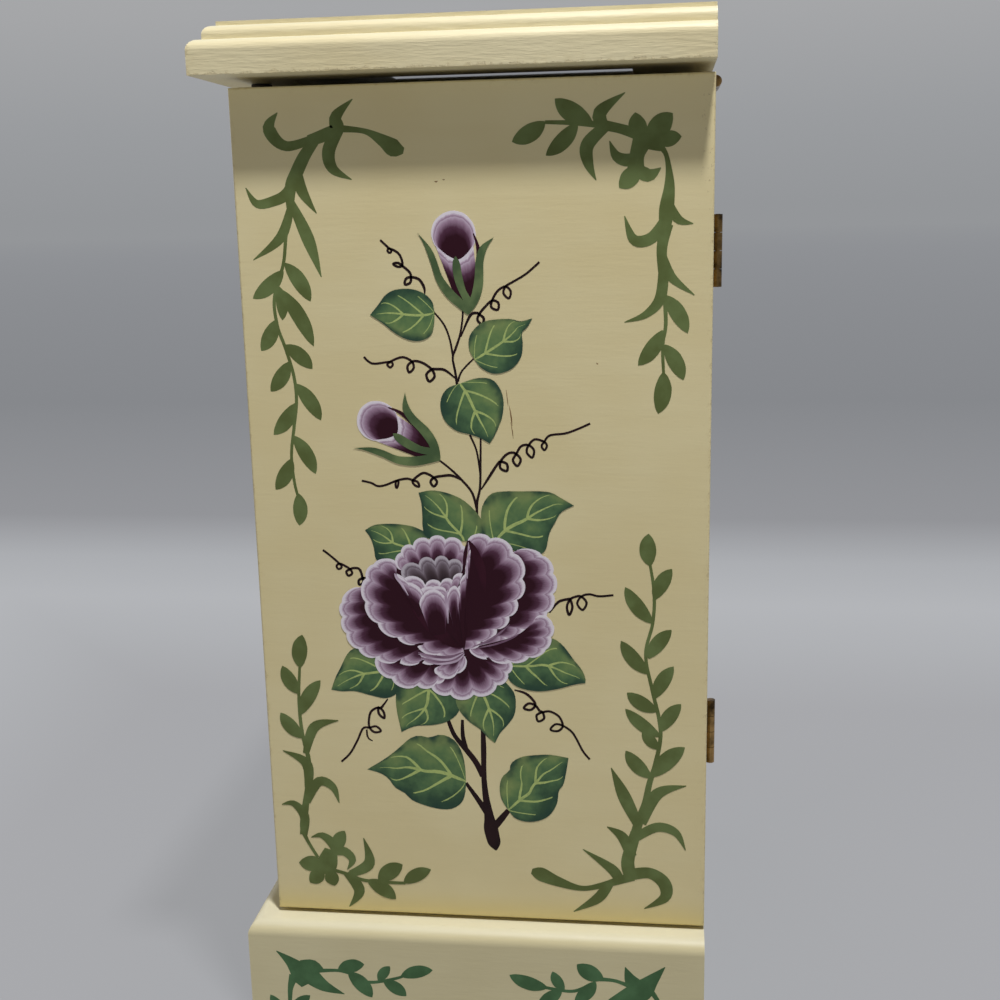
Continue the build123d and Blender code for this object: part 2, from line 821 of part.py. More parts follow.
def spur_wheel(teeth, thickness, turn=0.0):
    """A spur wheel of the going train, thin in the tooth so that it runs with free play."""
    pitch_radius = gear_module * teeth / 2
    root_radius = pitch_radius - root_depth_share * gear_module
    tip_radius = pitch_radius + tooth_height_share * gear_module
    return toothed_disc(teeth, root_radius, tip_radius, spur_root_share, spur_tip_share, thickness, turn)


def along_x(shape, x, y, z):
    """A wheel made about Z, set on an axle along X."""
    return Pos(x, y, z) * Rot(0, 90, 0) * shape


def make_movement_frame():
    """The cast plate with its comb bed and axle lug, and the governor's bracket."""
    plate = block(
        (movement_x - plate_left, movement_x + plate_right),
        (plate_front_y, back_inner_y),
        (movement_z - plate_below, movement_z + plate_above),
    )
    plate = fillet(plate.edges().filter_by(Axis.Y), plate_corner)
    comb_low = comb_bottom_z() + comb_tooth_length
    plate += block(
        (cylinder_start_x, cylinder_start_x + comb_note_count * comb_pitch),
        (cylinder_y + comb_thickness / 2, plate_front_y),
        (comb_low + comb_bed_rise, comb_low + comb_heel),
    )
    lug_x = (cylinder_start_x - lug_gap - lug_thickness, cylinder_start_x - lug_gap)
    lug = block(lug_x, (cylinder_y, plate_front_y), (movement_z - lug_radius, movement_z + lug_radius))
    lug += rod_x(lug_radius, lug_x, cylinder_y, movement_z)
    plate += lug - rod_x(cylinder_axle_radius + running_clearance, lug_x, cylinder_y, movement_z)
    plate -= rod_y(arbor_radius + running_clearance, arbor_x, (plate_front_y, back_inner_y), movement_z)
    for x, z in plate_screw_places():
        plate -= rod_y(plate_screw_radius + running_clearance, x, (plate_front_y, back_inner_y), z)
    for x in comb_screw_xs():
        reach = (cylinder_y, cylinder_y + comb_screw_length + running_clearance)
        plate -= rod_y(comb_screw_radius + running_clearance, x, reach, comb_screw_z())
    web = (governor_plate_x, governor_plate_x + governor_plate)
    arm = (fan_y - governor_arm, plate_front_y)
    frame = block(web, arm, (flange_bottom_z, flange_top_z + governor_plate))
    for z in (flange_bottom_z, flange_top_z):
        frame += block((web[0], flange_end_x), arm, (z, z + governor_plate))
    frame -= rod_x(cylinder_axle_radius + running_clearance, web, cylinder_y, movement_z)
    frame -= rod_x(governor_axle_radius + running_clearance, web, governor_y, governor_z)
    frame -= rod_z(fan_shaft_radius + running_clearance, fan_x, fan_y, (flange_bottom_z, fan_top_z))
    guide_radius = stop_pin_radius + stop_pin_guide_clearance
    frame -= rod_z(guide_radius, stop_pin_x, stop_pin_y, (flange_top_z, fan_top_z))
    write("movement_plate", plate)
    write("governor_frame", frame)


def comb_bottom_z():
    """The height of the comb's tooth tips over the cylinder."""
    return movement_z + cylinder_radius + comb_tip_clearance


def comb_screw_z():
    """The height of the comb's two screws, in the middle of its bed."""
    return comb_bottom_z() + comb_tooth_length + (comb_heel + comb_bed_rise) / 2


def comb_screw_xs():
    """Where the comb's two screws go along the cylinder."""
    length = comb_note_count * comb_pitch
    return [cylinder_start_x + length * share for share in comb_screw_places]


def make_comb():
    """The steel comb of separate teeth and its two screws."""
    low = comb_bottom_z()
    length = comb_note_count * comb_pitch
    through = (cylinder_y - comb_thickness, cylinder_y + comb_thickness)
    comb = block(
        (cylinder_start_x, cylinder_start_x + length),
        (cylinder_y - comb_thickness / 2, cylinder_y + comb_thickness / 2),
        (low, low + comb_tooth_length + comb_heel),
    )
    for index in range(1, comb_note_count):
        x = cylinder_start_x + index * comb_pitch
        slot = (x - comb_slot / 2, x + comb_slot / 2)
        comb -= block(slot, through, (low, low + comb_tooth_length))
    heel_z = comb_screw_z()
    screws = []
    for x in comb_screw_xs():
        comb -= rod_y(comb_screw_radius + running_clearance, x, through, heel_z)
        head_y = cylinder_y - comb_thickness / 2
        head = rod_y(comb_screw_head_radius, x, (head_y - comb_screw_head, head_y), heel_z)
        screws.append(head + rod_y(comb_screw_radius, x, (head_y, head_y + comb_screw_length), heel_z))
    write("comb", comb)
    write("comb_screws", screws)


def make_spring_and_arbor():
    """The spring's housing, the arbor with its crown wheel, and the winding key."""
    housing = rod_y(spring_barrel_radius, arbor_x, (barrel_front_y, plate_front_y), movement_z)
    housing = fillet(housing.faces().sort_by(Axis.Y)[0].edges(), spring_barrel_round)
    housing -= rod_y(arbor_radius + running_clearance, arbor_x, (barrel_front_y, plate_front_y), movement_z)
    key_start = back_inner_y + key_standoff
    key_end = key_start + key_hub_length
    arbor = rod_y(arbor_radius, arbor_x, (crown_face_y, key_end - key_socket_end), movement_z)
    arbor += rod_y(crown_disc_radius, arbor_x, (crown_face_y, crown_back_y), movement_z)
    for index in range(crown_teeth):
        width = crown_tooth_share * 2 * pi * crown_pitch_radius / crown_teeth
        tooth = block(
            (crown_pitch_radius - crown_face_width / 2, crown_pitch_radius + crown_face_width / 2),
            (-crown_tooth_length, crown_tooth_root),
            (-width / 2, width / 2),
        )
        arbor += Pos(arbor_x, crown_face_y, movement_z) * Rot(0, index * 360 / crown_teeth, 0) * tooth
    hub = rod_y(key_hub_radius, arbor_x, (key_start, key_end), movement_z)
    wing = block(
        (arbor_x - key_wing_span / 2, arbor_x + key_wing_span / 2),
        (key_end - key_wing_overlap, key_end - key_wing_overlap + key_wing_length),
        (movement_z - key_wing_thickness / 2, movement_z + key_wing_thickness / 2),
    )
    wing = fillet(wing.edges().filter_by(Axis.Z), key_wing_round)
    key = hub + wing
    key -= rod_y(arbor_radius, arbor_x, (key_start, key_end - key_socket_end), movement_z)
    write("spring_housing", housing)
    write("winding_arbor", arbor)
    write("winding_key", key)


def make_train():
    """The pinned cylinder with its two wheels, the governor's wheel and its fan."""
    web_end = governor_plate_x + governor_plate
    crown_x = arbor_x + crown_pitch_radius
    cylinder = rod_x(cylinder_radius, (cylinder_start_x, cylinder_end_x), cylinder_y, movement_z)
    axle_x = (crown_x - crown_face_width / 2 - axle_end, web_end + axle_end)
    cylinder += rod_x(cylinder_axle_radius, axle_x, cylinder_y, movement_z)
    half_tooth = 180 / pinion_teeth
    pinion = toothed_disc(
        pinion_teeth,
        pinion_root_radius,
        pinion_tip_radius,
        pinion_root_share,
        pinion_tip_share,
        crown_face_width,
        half_tooth,
    )
    cylinder += along_x(pinion, crown_x - crown_face_width / 2, cylinder_y, movement_z)
    cylinder += along_x(spur_wheel(cylinder_gear_teeth, gear_face), gear_start_x, cylinder_y, movement_z)
    write("music_cylinder", cylinder)
    axle_x = (gear_start_x - axle_end, wheel_start_x + gear_face + axle_end)
    wheel = rod_x(governor_axle_radius, axle_x, governor_y, governor_z)
    small = spur_wheel(governor_pinion_teeth, gear_face, governor_turn())
    wheel += along_x(small, gear_start_x, governor_y, governor_z)
    worm_wheel = toothed_disc(
        governor_wheel_teeth,
        governor_wheel_radius - worm_wheel_tooth_height,
        governor_wheel_radius,
        worm_wheel_root_share,
        worm_wheel_tip_share,
        gear_face,
    )
    wheel += along_x(worm_wheel, wheel_start_x, governor_y, governor_z)
    write("governor_wheel", wheel)
    shaft = rod_z(fan_shaft_radius, fan_x, fan_y, (fan_bottom_z, fan_top_z))
    shaft += rod_z(worm_radius, fan_x, fan_y, (governor_z - worm_length / 2, governor_z + worm_length / 2))
    blade_low = governor_z + worm_length / 2 + fan_blade_gap
    blade = block(
        (fan_x - fan_span / 2, fan_x + fan_span / 2),
        (fan_y - fan_blade / 2, fan_y + fan_blade / 2),
        (blade_low, flange_top_z - fan_clearance),
    )
    write("governor_fan", shaft + Pos(fan_x, fan_y, 0) * Rot(0, 0, fan_turn) * Pos(-fan_x, -fan_y, 0) * blade)


def governor_turn():
    """The pinion's turn, in degrees, that puts its gap where the cylinder's wheel has a tooth."""
    toward = degrees(atan2(governor_y - cylinder_y, governor_drop))
    step = 360 / cylinder_gear_teeth
    tooth_past = round(toward / step) * step - toward
    gap = toward + 180 - tooth_past * cylinder_gear_teeth / governor_pinion_teeth
    return gap + 180 / governor_pinion_teeth


def make_stop_pin_and_cover():
    """The pin that the closed lid holds down, and the clear cover over the movement."""
    top = lid_z - stop_pin_clearance
    low = flange_top_z - stop_pin_engagement
    pin = rod_z(stop_pin_radius, stop_pin_x, stop_pin_y, (low, top))
    outer = block((cover_left_x, cover_right_x), (cover_front_y, back_inner_y), (tray_floor_z, cover_top_z))
    front_edges = outer.edges().filter_by(Axis.Z).sort_by(Axis.Y)[:2]
    top_edge = outer.faces().sort_by(Axis.Z)[-1].edges().sort_by(Axis.Y)[:1]
    outer = fillet(front_edges + top_edge, cover_edge_round)
    inner = block(
        (cover_left_x + cover_wall, cover_right_x - cover_wall),
        (cover_front_y + cover_wall, back_inner_y),
        (tray_floor_z, cover_top_z - cover_wall),
    )
    cover = outer - inner
    hole_radius = stop_pin_radius + stop_pin_clearance
    cover -= rod_z(hole_radius, stop_pin_x, stop_pin_y, (cover_top_z - cover_wall, cover_top_z))
    write("stop_pin", pin)
    write("movement_cover", cover)


os.makedirs("parts", exist_ok=True)
make_base()
make_carcass()
make_tray_lining()
make_lid()
make_hinges()
make_doors()
make_drawers()
make_movement_frame()
make_comb()
make_spring_and_arbor()
make_train()
make_stop_pin_and_cover()
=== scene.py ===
"""A painted musical jewelry box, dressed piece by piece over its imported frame.

Sizes in the tables are millimetres in the box's own frame: +X is the side with the painted rose spray,
-Y is the front with the drawers, +Z is up, and the origin is under the middle of the base.
"""

import logging
from collections.abc import Callable, Iterator, Sequence
from contextlib import contextmanager
from dataclasses import dataclass, field
from enum import Enum
from math import copysign, cos, dist, hypot, pi, radians, sin

import bmesh
import bpy
from mathutils import Matrix, Vector, noise


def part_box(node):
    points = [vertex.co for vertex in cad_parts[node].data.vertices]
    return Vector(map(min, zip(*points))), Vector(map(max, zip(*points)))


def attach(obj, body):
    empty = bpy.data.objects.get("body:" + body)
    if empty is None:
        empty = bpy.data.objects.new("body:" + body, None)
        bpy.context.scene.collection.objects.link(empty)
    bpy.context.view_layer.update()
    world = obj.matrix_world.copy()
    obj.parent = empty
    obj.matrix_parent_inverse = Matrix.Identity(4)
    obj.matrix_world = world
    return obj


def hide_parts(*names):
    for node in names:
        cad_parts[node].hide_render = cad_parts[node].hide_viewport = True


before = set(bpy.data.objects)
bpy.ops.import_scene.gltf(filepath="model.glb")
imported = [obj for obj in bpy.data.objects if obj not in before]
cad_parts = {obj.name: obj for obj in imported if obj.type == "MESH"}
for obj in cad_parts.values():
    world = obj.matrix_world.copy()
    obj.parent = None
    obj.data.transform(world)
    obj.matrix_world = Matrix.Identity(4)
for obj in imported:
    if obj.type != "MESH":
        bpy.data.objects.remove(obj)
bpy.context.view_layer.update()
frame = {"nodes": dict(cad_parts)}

log = logging.getLogger("jewelry_box")

MM = 0.001
Point = Sequence[float]
Run = Sequence[Point]
Piece = bpy.types.Object
Socket = bpy.types.NodeSocket
Sockets = bpy.types.NodeOutputs
Node = bpy.types.Node


def tint(red: float, green: float, blue: float) -> tuple[float, float, float, float]:
    """A screen colour, 0 to 255, as the linear colour that a shader takes.

    Args:
        red, green, blue: the colour as it is written for a screen.

    Returns:
        The linear colour with full alpha.
    """

    def linear(value: float) -> float:
        """One channel, from the screen's curve to linear light."""
        share = value / 255
        return share / 12.92 if share <= 0.04045 else ((share + 0.055) / 1.055) ** 2.4

    return (linear(red), linear(green), linear(blue), 1.0)


# Shader nodes.


class Graph:
    """Adds nodes to one node tree and joins them."""

    def __init__(self, tree: bpy.types.NodeTree) -> None:
        """Keeps the tree that the nodes go into, and its shader if it has one."""
        self.tree = tree
        self.shader = tree.nodes.get("Principled BSDF")

    def node(self, kind: str, inputs: dict | None = None, **settings: object) -> Node:
        """Adds a node.

        Args:
            kind: the node's type, without its ShaderNode prefix.
            inputs: values or sockets, by the input's name or number.
            settings: the node's own options.

        Returns:
            The new node.
        """
        made = self.tree.nodes.new("ShaderNode" + kind)
        for name, value in settings.items():
            setattr(made, name, value)
        for name, value in (inputs or {}).items():
            if isinstance(value, Socket):
                self.tree.links.new(value, made.inputs[name])
            else:
                made.inputs[name].default_value = value
        return made

    def join(self, value: Socket, name: str) -> None:
        """Links a socket to one of the shader's inputs."""
        self.tree.links.new(value, self.shader.inputs[name])

    def math(self, operation: str, *values: object, clamp: bool = False) -> Socket:
        """A sum of numbers or sockets, clamped to 0 to 1 if asked."""
        inputs = dict(enumerate(values))
        return self.node("Math", inputs, operation=operation, use_clamp=clamp).outputs[0]

    def times(self, value: object, factor: object) -> Socket:
        """A number times another."""
        return self.math("MULTIPLY", value, factor)

    def scaled(self, value: object, factor: object, added: object, clamp: bool = False) -> Socket:
        """A number times a second one, plus a third."""
        return self.math("MULTIPLY_ADD", value, factor, added, clamp=clamp)

    def below(self, value: object, limit: object) -> Socket:
        """1 where a number is less than a limit, and 0 elsewhere."""
        return self.math("LESS_THAN", value, limit)

    def vector(self, operation: str, *values: object) -> Socket:
        """A sum of vectors."""
        return self.node("VectorMath", dict(enumerate(values)), operation=operation).outputs[0]

    def blend(self, share: object, low: object, high: object, how: str = "MIX") -> Socket:
        """A colour between two colours, by a share from 0 to 1."""
        inputs = {0: share, 6: low, 7: high}
        return self.node("Mix", inputs, data_type="RGBA", blend_type=how).outputs[2]

    def spread(self, value: object, low: float, high: float, to_low: float = 0, to_high: float = 1) -> Socket:
        """A value moved smoothly from one range to another, and held at its ends."""
        inputs = {0: value, 1: low, 2: high, 3: to_low, 4: to_high}
        return self.node("MapRange", inputs, interpolation_type="SMOOTHSTEP").outputs[0]

    def noise(self, place: object, scale: float, detail: float = 3, rough: float = 0.55) -> Socket:
        """Soft noise from 0 to 1 at so many cells a metre."""
        inputs = {"Vector": place, "Scale": scale, "Detail": detail, "Roughness": rough}
        return self.node("TexNoise", inputs).outputs[0]

    def ramp(self, value: object, *stops: tuple[float, tuple]) -> Socket:
        """A colour read from a run of stops, each a place from 0 to 1 and a colour."""
        made = self.node("ValToRGB", {0: value})
        elements = made.color_ramp.elements
        while len(elements) < len(stops):
            elements.new(1.0)
        for element, (place, colour) in zip(elements, stops):
            element.position = place
            element.color = colour
        return made.outputs[0]

    def place(self) -> Socket:
        """The point on the piece, in metres."""
        return self.node("TexCoord").outputs["Object"]

    def parts(self, value: Socket) -> tuple:
        """The three numbers of a vector."""
        return tuple(self.node("SeparateXYZ", {0: value}).outputs)

    def effect(self, effect: "Effect", inputs: dict) -> Node:
        """Places a shared effect with this material's own values."""
        return self.node("Group", inputs, node_tree=effect.tree())


class Effect(Enum):
    """The effects that several finishes share, each built once as a node group."""

    BRUSH_MARKS = "brush marks"
    EDGE_WEAR = "edge wear"
    SPECKS = "specks"
    PILE = "pile"
    HANDLING = "handling"

    def tree(self) -> bpy.types.NodeTree:
        """The node group, built the first time that it is asked for."""
        found = bpy.data.node_groups.get(self.value)
        if found:
            return found
        sockets, results, fill = EFFECT_PARTS[self]
        tree = bpy.data.node_groups.new(self.value, "ShaderNodeTree")
        for name, kind in sockets.items():
            tree.interface.new_socket(name, in_out="INPUT", socket_type=kind)
        for name in results:
            tree.interface.new_socket(name, in_out="OUTPUT", socket_type="NodeSocketFloat")
        graph = Graph(tree)
        source = tree.nodes.new("NodeGroupInput").outputs
        target = tree.nodes.new("NodeGroupOutput")
        for name, socket in fill(graph, source).items():
            tree.links.new(socket, target.inputs[name])
        return tree


NUMBER = "NodeSocketFloat"
VECTOR = "NodeSocketVector"


def fill_brush_marks(graph: Graph, given: Sockets) -> dict:
    """Long fine ridges with a slower drift of tone, drawn out along one way."""
    drawn = graph.vector("MULTIPLY", given["Vector"], given["Stretch"])
    fine = graph.noise(drawn, 900, 4, 0.6)
    broad = graph.noise(drawn, 160, 2, 0.5)
    height = graph.scaled(fine, 0.6, graph.times(broad, 0.4))
    drift = graph.noise(given["Vector"], 22, 2, 0.5)
    tone = graph.scaled(broad, 0.25, graph.times(drift, 0.75))
    return {"Height": height, "Tone": tone}


def fill_edge_wear(graph: Graph, given: Sockets) -> dict:
    """A broken line of wear within a set distance of the edges of a board."""
    offset = graph.vector("SUBTRACT", given["Vector"], given["Centre"])
    room = graph.vector("SUBTRACT", given["Half size"], graph.vector("ABSOLUTE", offset))
    x, y, z = graph.parts(room)
    low, high = graph.math("MINIMUM", x, y), graph.math("MAXIMUM", x, y)
    second = graph.math("MAXIMUM", low, graph.math("MINIMUM", high, z))
    rough = graph.noise(given["Vector"], 420, 5, 0.7)
    reach = graph.times(given["Width"], graph.spread(rough, 0.42, 0.75, 0.05, 1.6))
    worn = graph.math("SUBTRACT", reach, second)
    return {"Mask": graph.math("MULTIPLY", graph.spread(worn, 0, 0.0004), given["Amount"], clamp=True)}


def fill_specks(graph: Graph, given: Sockets) -> dict:
    """Small dots scattered over a surface, only some of the cells holding one."""
    cells = graph.node("TexVoronoi", {"Vector": given["Vector"], "Scale": given["Density"]})
    wobble = graph.noise(given["Vector"], 2500, 2)
    far = graph.scaled(wobble, 0.12, cells.outputs["Distance"])
    dot = graph.below(far, given["Size"])
    chance = graph.parts(cells.outputs["Color"])[0]
    return {"Mask": graph.times(dot, graph.below(chance, given["Share"]))}


def fill_pile(graph: Graph, given: Sockets) -> dict:
    """The short nap of velvet or felt, brushed into lighter and darker patches."""
    fibres = graph.noise(given["Vector"], given["Density"], 3, 0.7)
    patches = graph.noise(given["Vector"], 55, 3, 0.6)
    tone = graph.scaled(fibres, 0.35, graph.times(patches, 0.65))
    return {"Height": fibres, "Tone": tone}


def fill_handling(graph: Graph, given: Sockets) -> dict:
    """Smudges and hair scratches left on metal and plastic by hands."""
    smudge = graph.spread(graph.noise(given["Vector"], 130, 3), 0.35, 0.7)
    drawn = graph.vector("MULTIPLY", given["Vector"], (1.0, 0.08, 0.35))
    scratch = graph.spread(graph.noise(drawn, 3200, 2), 0.62, 0.7)
    return {"Smudge": smudge, "Scratch": scratch}


# Each effect's inputs with their kinds, its outputs, and what fills it.
EFFECT_PARTS: dict = {
    Effect.BRUSH_MARKS: ({"Vector": VECTOR, "Stretch": VECTOR}, ("Height", "Tone"), fill_brush_marks),
    Effect.EDGE_WEAR: (
        {"Vector": VECTOR, "Centre": VECTOR, "Half size": VECTOR, "Width": NUMBER, "Amount": NUMBER},
        ("Mask",), fill_edge_wear,
    ),
    Effect.SPECKS: (
        {"Vector": VECTOR, "Density": NUMBER, "Size": NUMBER, "Share": NUMBER}, ("Mask",), fill_specks
    ),
    Effect.PILE: ({"Vector": VECTOR, "Density": NUMBER}, ("Height", "Tone"), fill_pile),
    Effect.HANDLING: ({"Vector": VECTOR}, ("Smudge", "Scratch"), fill_handling),
}


# Finishes.

# The shader's sockets that take one value all over a piece.
EVEN = {
    "metallic": "Metallic", "specular": "Specular IOR Level", "sheen": "Sheen Weight", "ior": "IOR",
    "sheen_rough": "Sheen Roughness", "sheen_tint": "Sheen Tint", "clear": "Transmission Weight",
}


@dataclass(frozen=True)
class Finish:
    """A finish: a name and a way to build its material."""

    name: str

    def material(self) -> bpy.types.Material:
        """The material, built once."""
        found = bpy.data.materials.get(self.name)
        if found:
            return found
        made = bpy.data.materials.new(self.name)
        made.use_nodes = True
        self.dress(Graph(made.node_tree))
        return made

    def dress(self, graph: Graph) -> None:
        """Joins the finish's nodes to the shader."""
        raise NotImplementedError

    def coat(self, graph: Graph, colour: Socket, rough: Socket, **even: object) -> None:
        """Joins a colour and a roughness to the shader, and sets even values on their own sockets."""
        graph.join(colour, "Base Color")
        graph.join(rough, "Roughness")
        for name, value in even.items():
            graph.shader.inputs[EVEN[name]].default_value = value

    def apply(self, *pieces: Piece) -> None:
        """Puts the finish on every slot of the pieces, or on a new slot."""
        for piece in pieces:
            if not piece.material_slots:
                piece.data.materials.append(self.material())
            for slot in piece.material_slots:
                slot.material = self.material()


def relief(graph: Graph, height: object, depth: float, strength: float = 1.0) -> None:
    """Gives the shader a bumped normal, its depth in millimetres."""
    inputs = {"Height": height, "Distance": depth * MM, "Strength": strength}
    graph.join(graph.node("Bump", inputs).outputs[0], "Normal")


CREAM_EDGE = tint(205, 182, 126)
GRIT = tint(150, 118, 66)
CHIPPED = tint(140, 110, 66)
FOOT_YELLOW = tint(224, 204, 128)
BARE_DARK, BARE_PALE = tint(120, 92, 54), tint(214, 194, 142)


@dataclass(frozen=True)
class CreamPaint(Finish):
    """Brushed cream paint on a wooden board, rubbed through along its edges."""

    low: Point = (0, 0, 0)
    high: Point = (1, 1, 1)
    stretch: Point = (1.0, 0.12, 1.0)
    wear: float = 0.3
    ridges: float = 0.08
    worn_back: bool = False
    light: tuple = tint(236, 223, 176)
    deep: tuple = tint(231, 216, 166)
    # Painted shade: the greyer, mostly darker cream that faces looking up take, for the key lamp's strong
    # light there.
    painted_top_shade: tuple = tint(221, 216, 190)
    edge: float = 0.0011
    rubbed_edge: float = 0.0026
    back_band: Point = (0.0075, 0.0005)
    hinge_level: Point = (0.318, 0.345)
    foot: float = 0.012
    # Dots: cells a metre, size in a cell, and the share of the cells that hold one.
    grit: Point = (95.0, 0.06, 0.08)
    blisters: Point = (190.0, 0.16, 0.10)

    def specks(self, graph: Graph, place: Socket, sizes: Point) -> Socket:
        """Dots scattered over the board."""
        inputs = dict(zip(("Vector", "Density", "Size", "Share"), (place, *sizes)))
        return graph.effect(Effect.SPECKS, inputs).outputs["Mask"]

    def dress(self, graph: Graph) -> None:
        """Cream with a slow drift of tone, fine brush ridges, painted shade on faces that look up, specks and
        worn edges.
        """
        place = graph.place()
        marks = graph.effect(Effect.BRUSH_MARKS, {"Vector": place, "Stretch": self.stretch})
        centre = [(a + b) / 2 for a, b in zip(self.low, self.high)]
        half = [(b - a) / 2 for a, b in zip(self.low, self.high)]
        rim = {"Vector": place, "Centre": centre, "Half size": half, "Width": self.edge, "Amount": self.wear}
        worn = graph.effect(Effect.EDGE_WEAR, rim).outputs["Mask"]
        rubbed = graph.effect(Effect.EDGE_WEAR, {**rim, "Width": self.rubbed_edge}).outputs["Mask"]
        colour = graph.blend(graph.spread(marks.outputs["Tone"], 0.3, 0.72), self.deep, self.light)
        # Painted shade: faces that look up turn towards a greyer, mostly darker cream, so that they don't
        # glare under the key lamp.
        up = graph.parts(graph.node("TexCoord").outputs["Normal"])[2]
        colour = graph.blend(graph.spread(up, 0.5, 0.95, 0.0, 0.75), colour, self.painted_top_shade)
        colour = graph.blend(graph.times(rubbed, 0.4), colour, CREAM_EDGE)
        colour = graph.blend(graph.times(self.specks(graph, place, self.grit), 0.5), colour, GRIT)
        if self.worn_back:
            y, z = graph.parts(place)[1:]
            back = graph.spread(y, *(self.high[1] - inset for inset in self.back_band))
            level = graph.spread(z, *self.hinge_level)
            chips = graph.spread(graph.noise(place, 700, 4, 0.75), 0.6, 0.66)
            chipped = graph.times(back, chips)
            share = graph.times(chipped, graph.scaled(level, 0.35, 0.10))
            colour = graph.blend(share, colour, CHIPPED)
            # Yellower towards the door's foot, within a band of the given height.
            foot = graph.spread(z, self.low[2] + self.foot, self.low[2])
            colour = graph.blend(graph.times(foot, 0.6), colour, FOOT_YELLOW)
        bare = graph.blend(graph.spread(graph.noise(place, 260, 2), 0.38, 0.58), BARE_DARK, BARE_PALE)
        colour = graph.blend(worn, colour, bare)
        rough = graph.scaled(marks.outputs["Height"], 0.22, 0.36)
        self.coat(graph, colour, rough, specular=0.35)
        height = graph.scaled(self.specks(graph, place, self.blisters), 0.5, marks.outputs["Height"])
        relief(graph, graph.scaled(worn, -1.2, height), self.ridges, 0.85)


@dataclass(frozen=True)
class BareWood(Finish):
    """Plain pale softwood, planed, with its grain along one way."""

    drawn_out: float = 0.06
    bands: float = 110
    rings: float = 42.0
    pale: tuple = tint(222, 188, 138)
    dark: tuple = tint(176, 132, 84)
    pore: tuple = tint(120, 84, 48)

    def dress(self, graph: Graph) -> None:
        """Grain lines, pores and slow bands."""
        place = graph.place()
        facing = graph.parts(graph.node("TexCoord").outputs["Normal"])[0]
        side = graph.math("GREATER_THAN", graph.math("ABSOLUTE", facing), 0.7)
        across = graph.scaled(side, 1 - self.drawn_out, self.drawn_out)
        along = graph.scaled(side, self.drawn_out - 1, 1.0)
        stretch = graph.node("CombineXYZ", {0: across, 1: along, 2: 1.0}).outputs[0]
        drawn = graph.vector("MULTIPLY", place, stretch)
        bands = graph.noise(drawn, self.bands, 5, 0.62)
        rings = graph.math("SINE", graph.times(bands, self.rings))
        share = graph.scaled(rings, 0.24, 0.42, clamp=True)
        pores = graph.spread(graph.noise(drawn, 1500, 3, 0.6), 0.58, 0.72)
        colour = graph.blend(share, self.pale, self.dark)
        colour = graph.blend(graph.times(pores, 0.5), colour, self.pore)
        self.coat(graph, colour, graph.scaled(share, 0.2, 0.5))
        relief(graph, graph.scaled(pores, -1.0, bands), 0.07)


@dataclass(frozen=True)
class Metal(Finish):
    """A plated metal with smudges, hair scratches and dulled patches."""

    bright: tuple = tint(236, 196, 112)
    dull: tuple = tint(150, 112, 52)
    rough: float = 0.22
    dulled: float = 0.55

    def dress(self, graph: Graph) -> None:
        """Bright metal under a broken film of tarnish."""
        marks = graph.effect(Effect.HANDLING, {"Vector": graph.place()})
        tarnish = graph.times(marks.outputs["Smudge"], self.dulled)
        colour = graph.blend(tarnish, self.bright, self.dull)
        rough = graph.scaled(marks.outputs["Smudge"], 0.18, self.rough)
        rough = graph.scaled(marks.outputs["Scratch"], 0.12, rough)
        self.coat(graph, colour, rough, metallic=1.0)
        relief(graph, marks.outputs["Scratch"], 0.01, 0.4)


@dataclass(frozen=True)
class Mirror(Finish):
    """Silvered glass with a trace of grime."""

    def dress(self, graph: Graph) -> None:
        """Almost clear silver, hazed a little in patches."""
        smudge = graph.effect(Effect.HANDLING, {"Vector": graph.place()}).outputs["Smudge"]
        silver = graph.blend(smudge, tint(232, 238, 240), tint(222, 228, 230))
        self.coat(graph, silver, graph.scaled(smudge, 0.05, 0.02), metallic=1.0)


@dataclass(frozen=True)
class Cloth(Finish):
    """A napped cloth, velvet or felt."""

    pale: tuple = tint(112, 52, 80)
    dark: tuple = tint(74, 28, 50)
    density: float = 2600.0
    depth: float = 0.12
    sheen: float = 0.9
    sheen_colour: tuple = tint(196, 152, 176)

    def dress(self, graph: Graph) -> None:
        """Nap in patches under a soft sheen."""
        nap = graph.effect(Effect.PILE, {"Vector": graph.place(), "Density": self.density})
        share = graph.spread(nap.outputs["Tone"], 0.22, 0.80)
        colour, rough = graph.blend(share, self.dark, self.pale), graph.scaled(share, 0.1, 0.82)
        sheen = {"sheen": self.sheen, "sheen_rough": 0.35, "sheen_tint": self.sheen_colour}
        self.coat(graph, colour, rough, specular=0.15, **sheen)
        relief(graph, nap.outputs["Height"], self.depth)


@dataclass(frozen=True)
class ClearPlastic(Finish):
    """Clear moulded plastic with faint scuffs."""

    def dress(self, graph: Graph) -> None:
        """Clear, with smudges in its gloss."""
        smudge = graph.effect(Effect.HANDLING, {"Vector": graph.place()}).outputs["Smudge"]
        colour = graph.blend(smudge, tint(250, 252, 252), tint(240, 244, 244))
        self.coat(graph, colour, graph.scaled(smudge, 0.08, 0.04), clear=1.0, ior=1.46)


@dataclass(frozen=True)
class Enamel(Finish):
    """What the painted ornament's colours share: a satin film with brush hairs in it."""

    def film(self, graph: Graph, colour: object) -> None:
        """Joins a colour to the shader and gives the film its gloss and hairs."""
        hairs = graph.noise(graph.place(), 2400, 3, 0.6)
        self.coat(graph, colour, graph.scaled(hairs, 0.2, 0.42), specular=0.18)
        relief(graph, hairs, 0.03, 0.6)


@dataclass(frozen=True)
class FlatEnamel(Enamel):
    """One colour laid in a single coat, thinner here and there."""

    thick: tuple = tint(96, 108, 60)
    thin: tuple = tint(112, 128, 78)

    def dress(self, graph: Graph) -> None:
        """The coat's two tones in soft patches."""
        share = graph.spread(graph.noise(graph.place(), 90, 3), 0.35, 0.68)
        self.film(graph, graph.blend(share, self.thick, self.thin))


